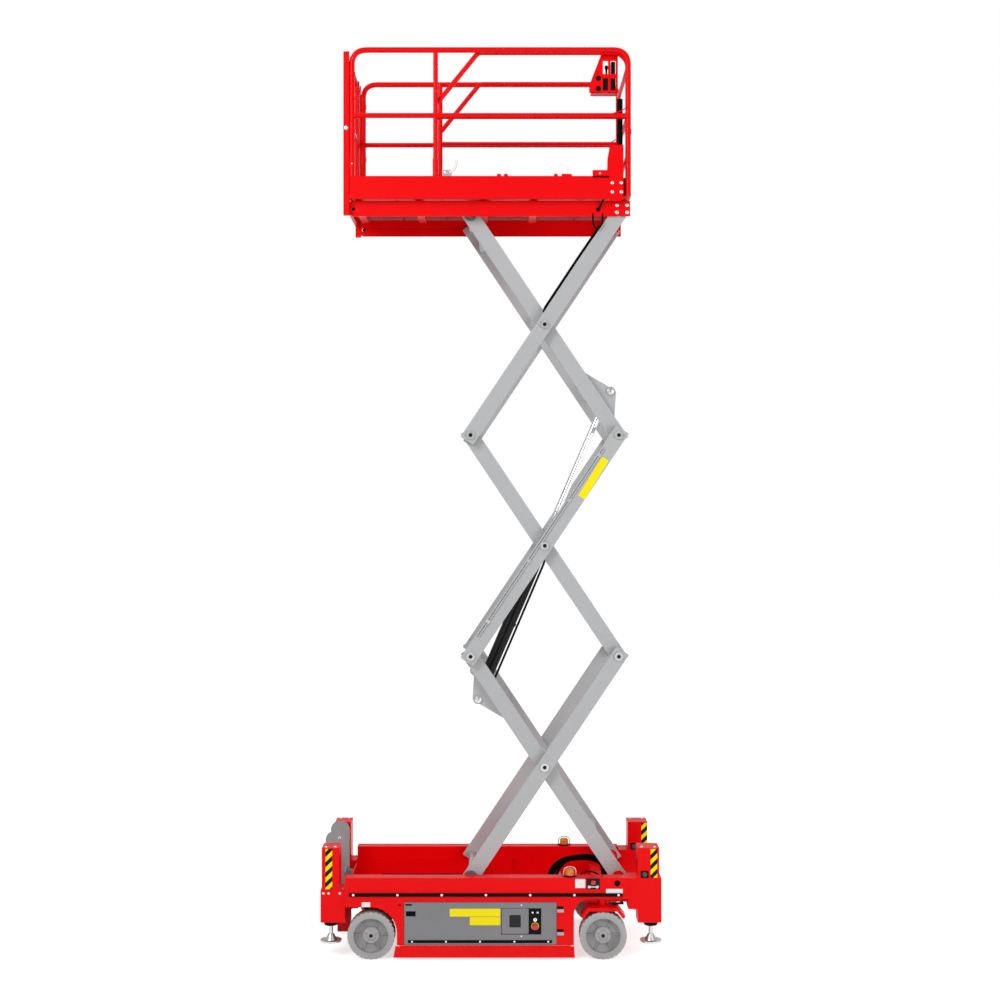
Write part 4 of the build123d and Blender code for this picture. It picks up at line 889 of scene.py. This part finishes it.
# Platform control: the cut-out bracket plate, the box behind it, joystick and stop button
desk = dict(y0=-0.4397, y1=-0.4347, top=6.9356, bottom=6.6316, boxTop=6.7716, holeX=0.828,
            holesZ=(6.6646, 6.7446), windowsZ=((6.6506, 6.7446), (6.7776, 6.8776)),
            stopPlace=(0.815, -0.355, 6.7716))
y0, y1, bottom, top, boxTop = (desk[key] for key in ("y0", "y1", "bottom", "top", "boxTop"))
plate = [slab([(0.852, top), (0.863, top), (0.863, bottom), (0.757, bottom), (0.757, bottom + 0.058)],
              y0, y1),
         plateBox(0.902, 0.922, y0, y1, bottom, top), plateBox(0.961, 0.978, y0, y1, bottom, top),
         plateBox(0.770, 0.978, y0, y0 + 0.1, bottom, bottom + 0.005)]
low, high = desk["windowsZ"]
plate += plates([(0.860, 0.965, z0, z1) for z0, z1 in
                 ((bottom, low[0]), (low[1], high[0]), (high[1], top))],
                y0 + 0.0002, y1 - 0.0002, 0.0003)
bracket = piece("control_plate", plate, "redPaint", "extension")
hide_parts("control_bracket")
box = [slab([(0.790, -0.4345), (0.960, -0.4345), (0.960, -0.310), (0.790, -0.310)],
            bottom + 0.005, boxTop, 0.006, "xy"),
       plateBox(0.926, 0.958, -0.430, -0.385, boxTop - 0.002, 6.876, 0.004, 0.008)]
box += [turned([(0, 0.021), (0.0006, 0.021)], (desk["holeX"], y0, z), outward, 28)
        for z in desk["holesZ"]]
boxPiece = piece("control_housing", box, "plastic", "extension")
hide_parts("control_box")
stick = [turned([(0, 0.026), (0.004, 0.026), (0.012, 0.017), (0.022, 0.012), (0.026, 0.007),
                 (0.062, 0.008), (0.070, 0.013), (0.086, 0.014), (0.094, 0.009)],
                (0.895, -0.350, boxTop), up, 28)]
stick += [tube([(x, -0.350, boxTop - 0.001), (x, -0.344, boxTop + 0.016)], 0.003, lean=(1, 0, 0))
          for x in (0.845, 0.865)]
piece("drive_stick", stick, "plastic", "extension")
stopProfile = [(0, 0.010), (0.010, 0.010), (0.012, 0.018), (0.022, 0.018), (0.026, 0.013)]
piece("platform_stop", [turned(stopProfile, desk["stopPlace"], up, 28)], "stopRed", "extension")
piece("platform_stop_ring", [collar(desk["stopPlace"], up, 0.012, 0.025, 0, 0.002)],
      "sign", "extension")
print("platform dressed")

# White floor, pale world and soft lamps
studio = dict(floorHalf=40.0, worldFill=0.55, keyPower=560.0, fillPower=300.0, rimPower=160.0)


def whiteFloor():
    # A floor whose seen colour is white less the shadow of the machine
    material, tree, shader = newMaterial("studioFloor")
    shader.inputs["Base Color"].default_value = (0.8, 0.8, 0.8, 1)
    shader.inputs["Roughness"].default_value = 0.9
    shader.inputs["Specular IOR Level"].default_value = 0.0
    path = tree.nodes.new("ShaderNodeLightPath").outputs
    glow = addNode(tree, "ShaderNodeEmission", Strength=0.62)
    seen = tree.nodes.new("ShaderNodeAddShader")
    either = mathNode(tree, "MAXIMUM", path["Is Camera Ray"], path["Is Glossy Ray"])
    mix = tree.nodes.new("ShaderNodeMixShader")
    output = tree.nodes["Material Output"]
    for source, target in ((shader.outputs[0], seen.inputs[0]), (glow.outputs[0], seen.inputs[1]),
                           (either, mix.inputs[0]), (shader.outputs[0], mix.inputs[1]),
                           (seen.outputs[0], mix.inputs[2]),
                           (mix.outputs[0], output.inputs["Surface"])):
        tree.links.new(source, target)
    return material


half = studio["floorHalf"]
floorMesh = bpy.data.meshes.new("studioFloor")
floorMesh.from_pydata([(-half, -half, 0), (half, -half, 0), (half, half, 0), (-half, half, 0)],
                      [], [(0, 1, 2, 3)])
floorMesh.materials.append(whiteFloor())
floor = bpy.data.objects.new("studioFloor", floorMesh)
bpy.context.scene.collection.objects.link(floor)

world = bpy.data.worlds.new("studioWorld")
bpy.context.scene.world = world
world.use_nodes = True
sky = world.node_tree
background = sky.nodes["Background"]
background.inputs["Color"].default_value = (1, 1, 1, 1)
background.inputs["Strength"].default_value = studio["worldFill"]
seenWhite = addNode(sky, "ShaderNodeBackground", Strength=1.0, Color=(1, 1, 1, 1))
rays = sky.nodes.new("ShaderNodeLightPath").outputs
seenRay = mathNode(sky, "MAXIMUM", rays["Is Camera Ray"], rays["Is Transmission Ray"])
skyMix = sky.nodes.new("ShaderNodeMixShader")
for k, source in enumerate((seenRay, background.outputs[0], seenWhite.outputs[0])):
    sky.links.new(source, skyMix.inputs[k])
sky.links.new(skyMix.outputs[0], sky.nodes["World Output"].inputs["Surface"])


def softLamp(name, place, target, size, power):
    # An area lamp that faces a point
    data = bpy.data.lights.new(name, "AREA")
    data.shape = "RECTANGLE"
    data.size, data.size_y = size
    data.energy = power
    lamp = bpy.data.objects.new(name, data)
    lamp.location = place
    lamp.rotation_euler = (Vector(target) - Vector(place)).to_track_quat("-Z", "Y").to_euler()
    bpy.context.scene.collection.objects.link(lamp)


softLamp("keyLamp", (-6.0, -9.0, 9.0), (0, 0, 3.2), (4.0, 6.0), studio["keyPower"])
softLamp("fillLamp", (7.5, -8.0, 4.0), (0, 0, 3.0), (4.0, 6.0), studio["fillPower"])
softLamp("backLamp", (2.0, 8.0, 9.0), (0, 0, 3.5), (5.0, 4.0), studio["rimPower"])
print("studio ready")
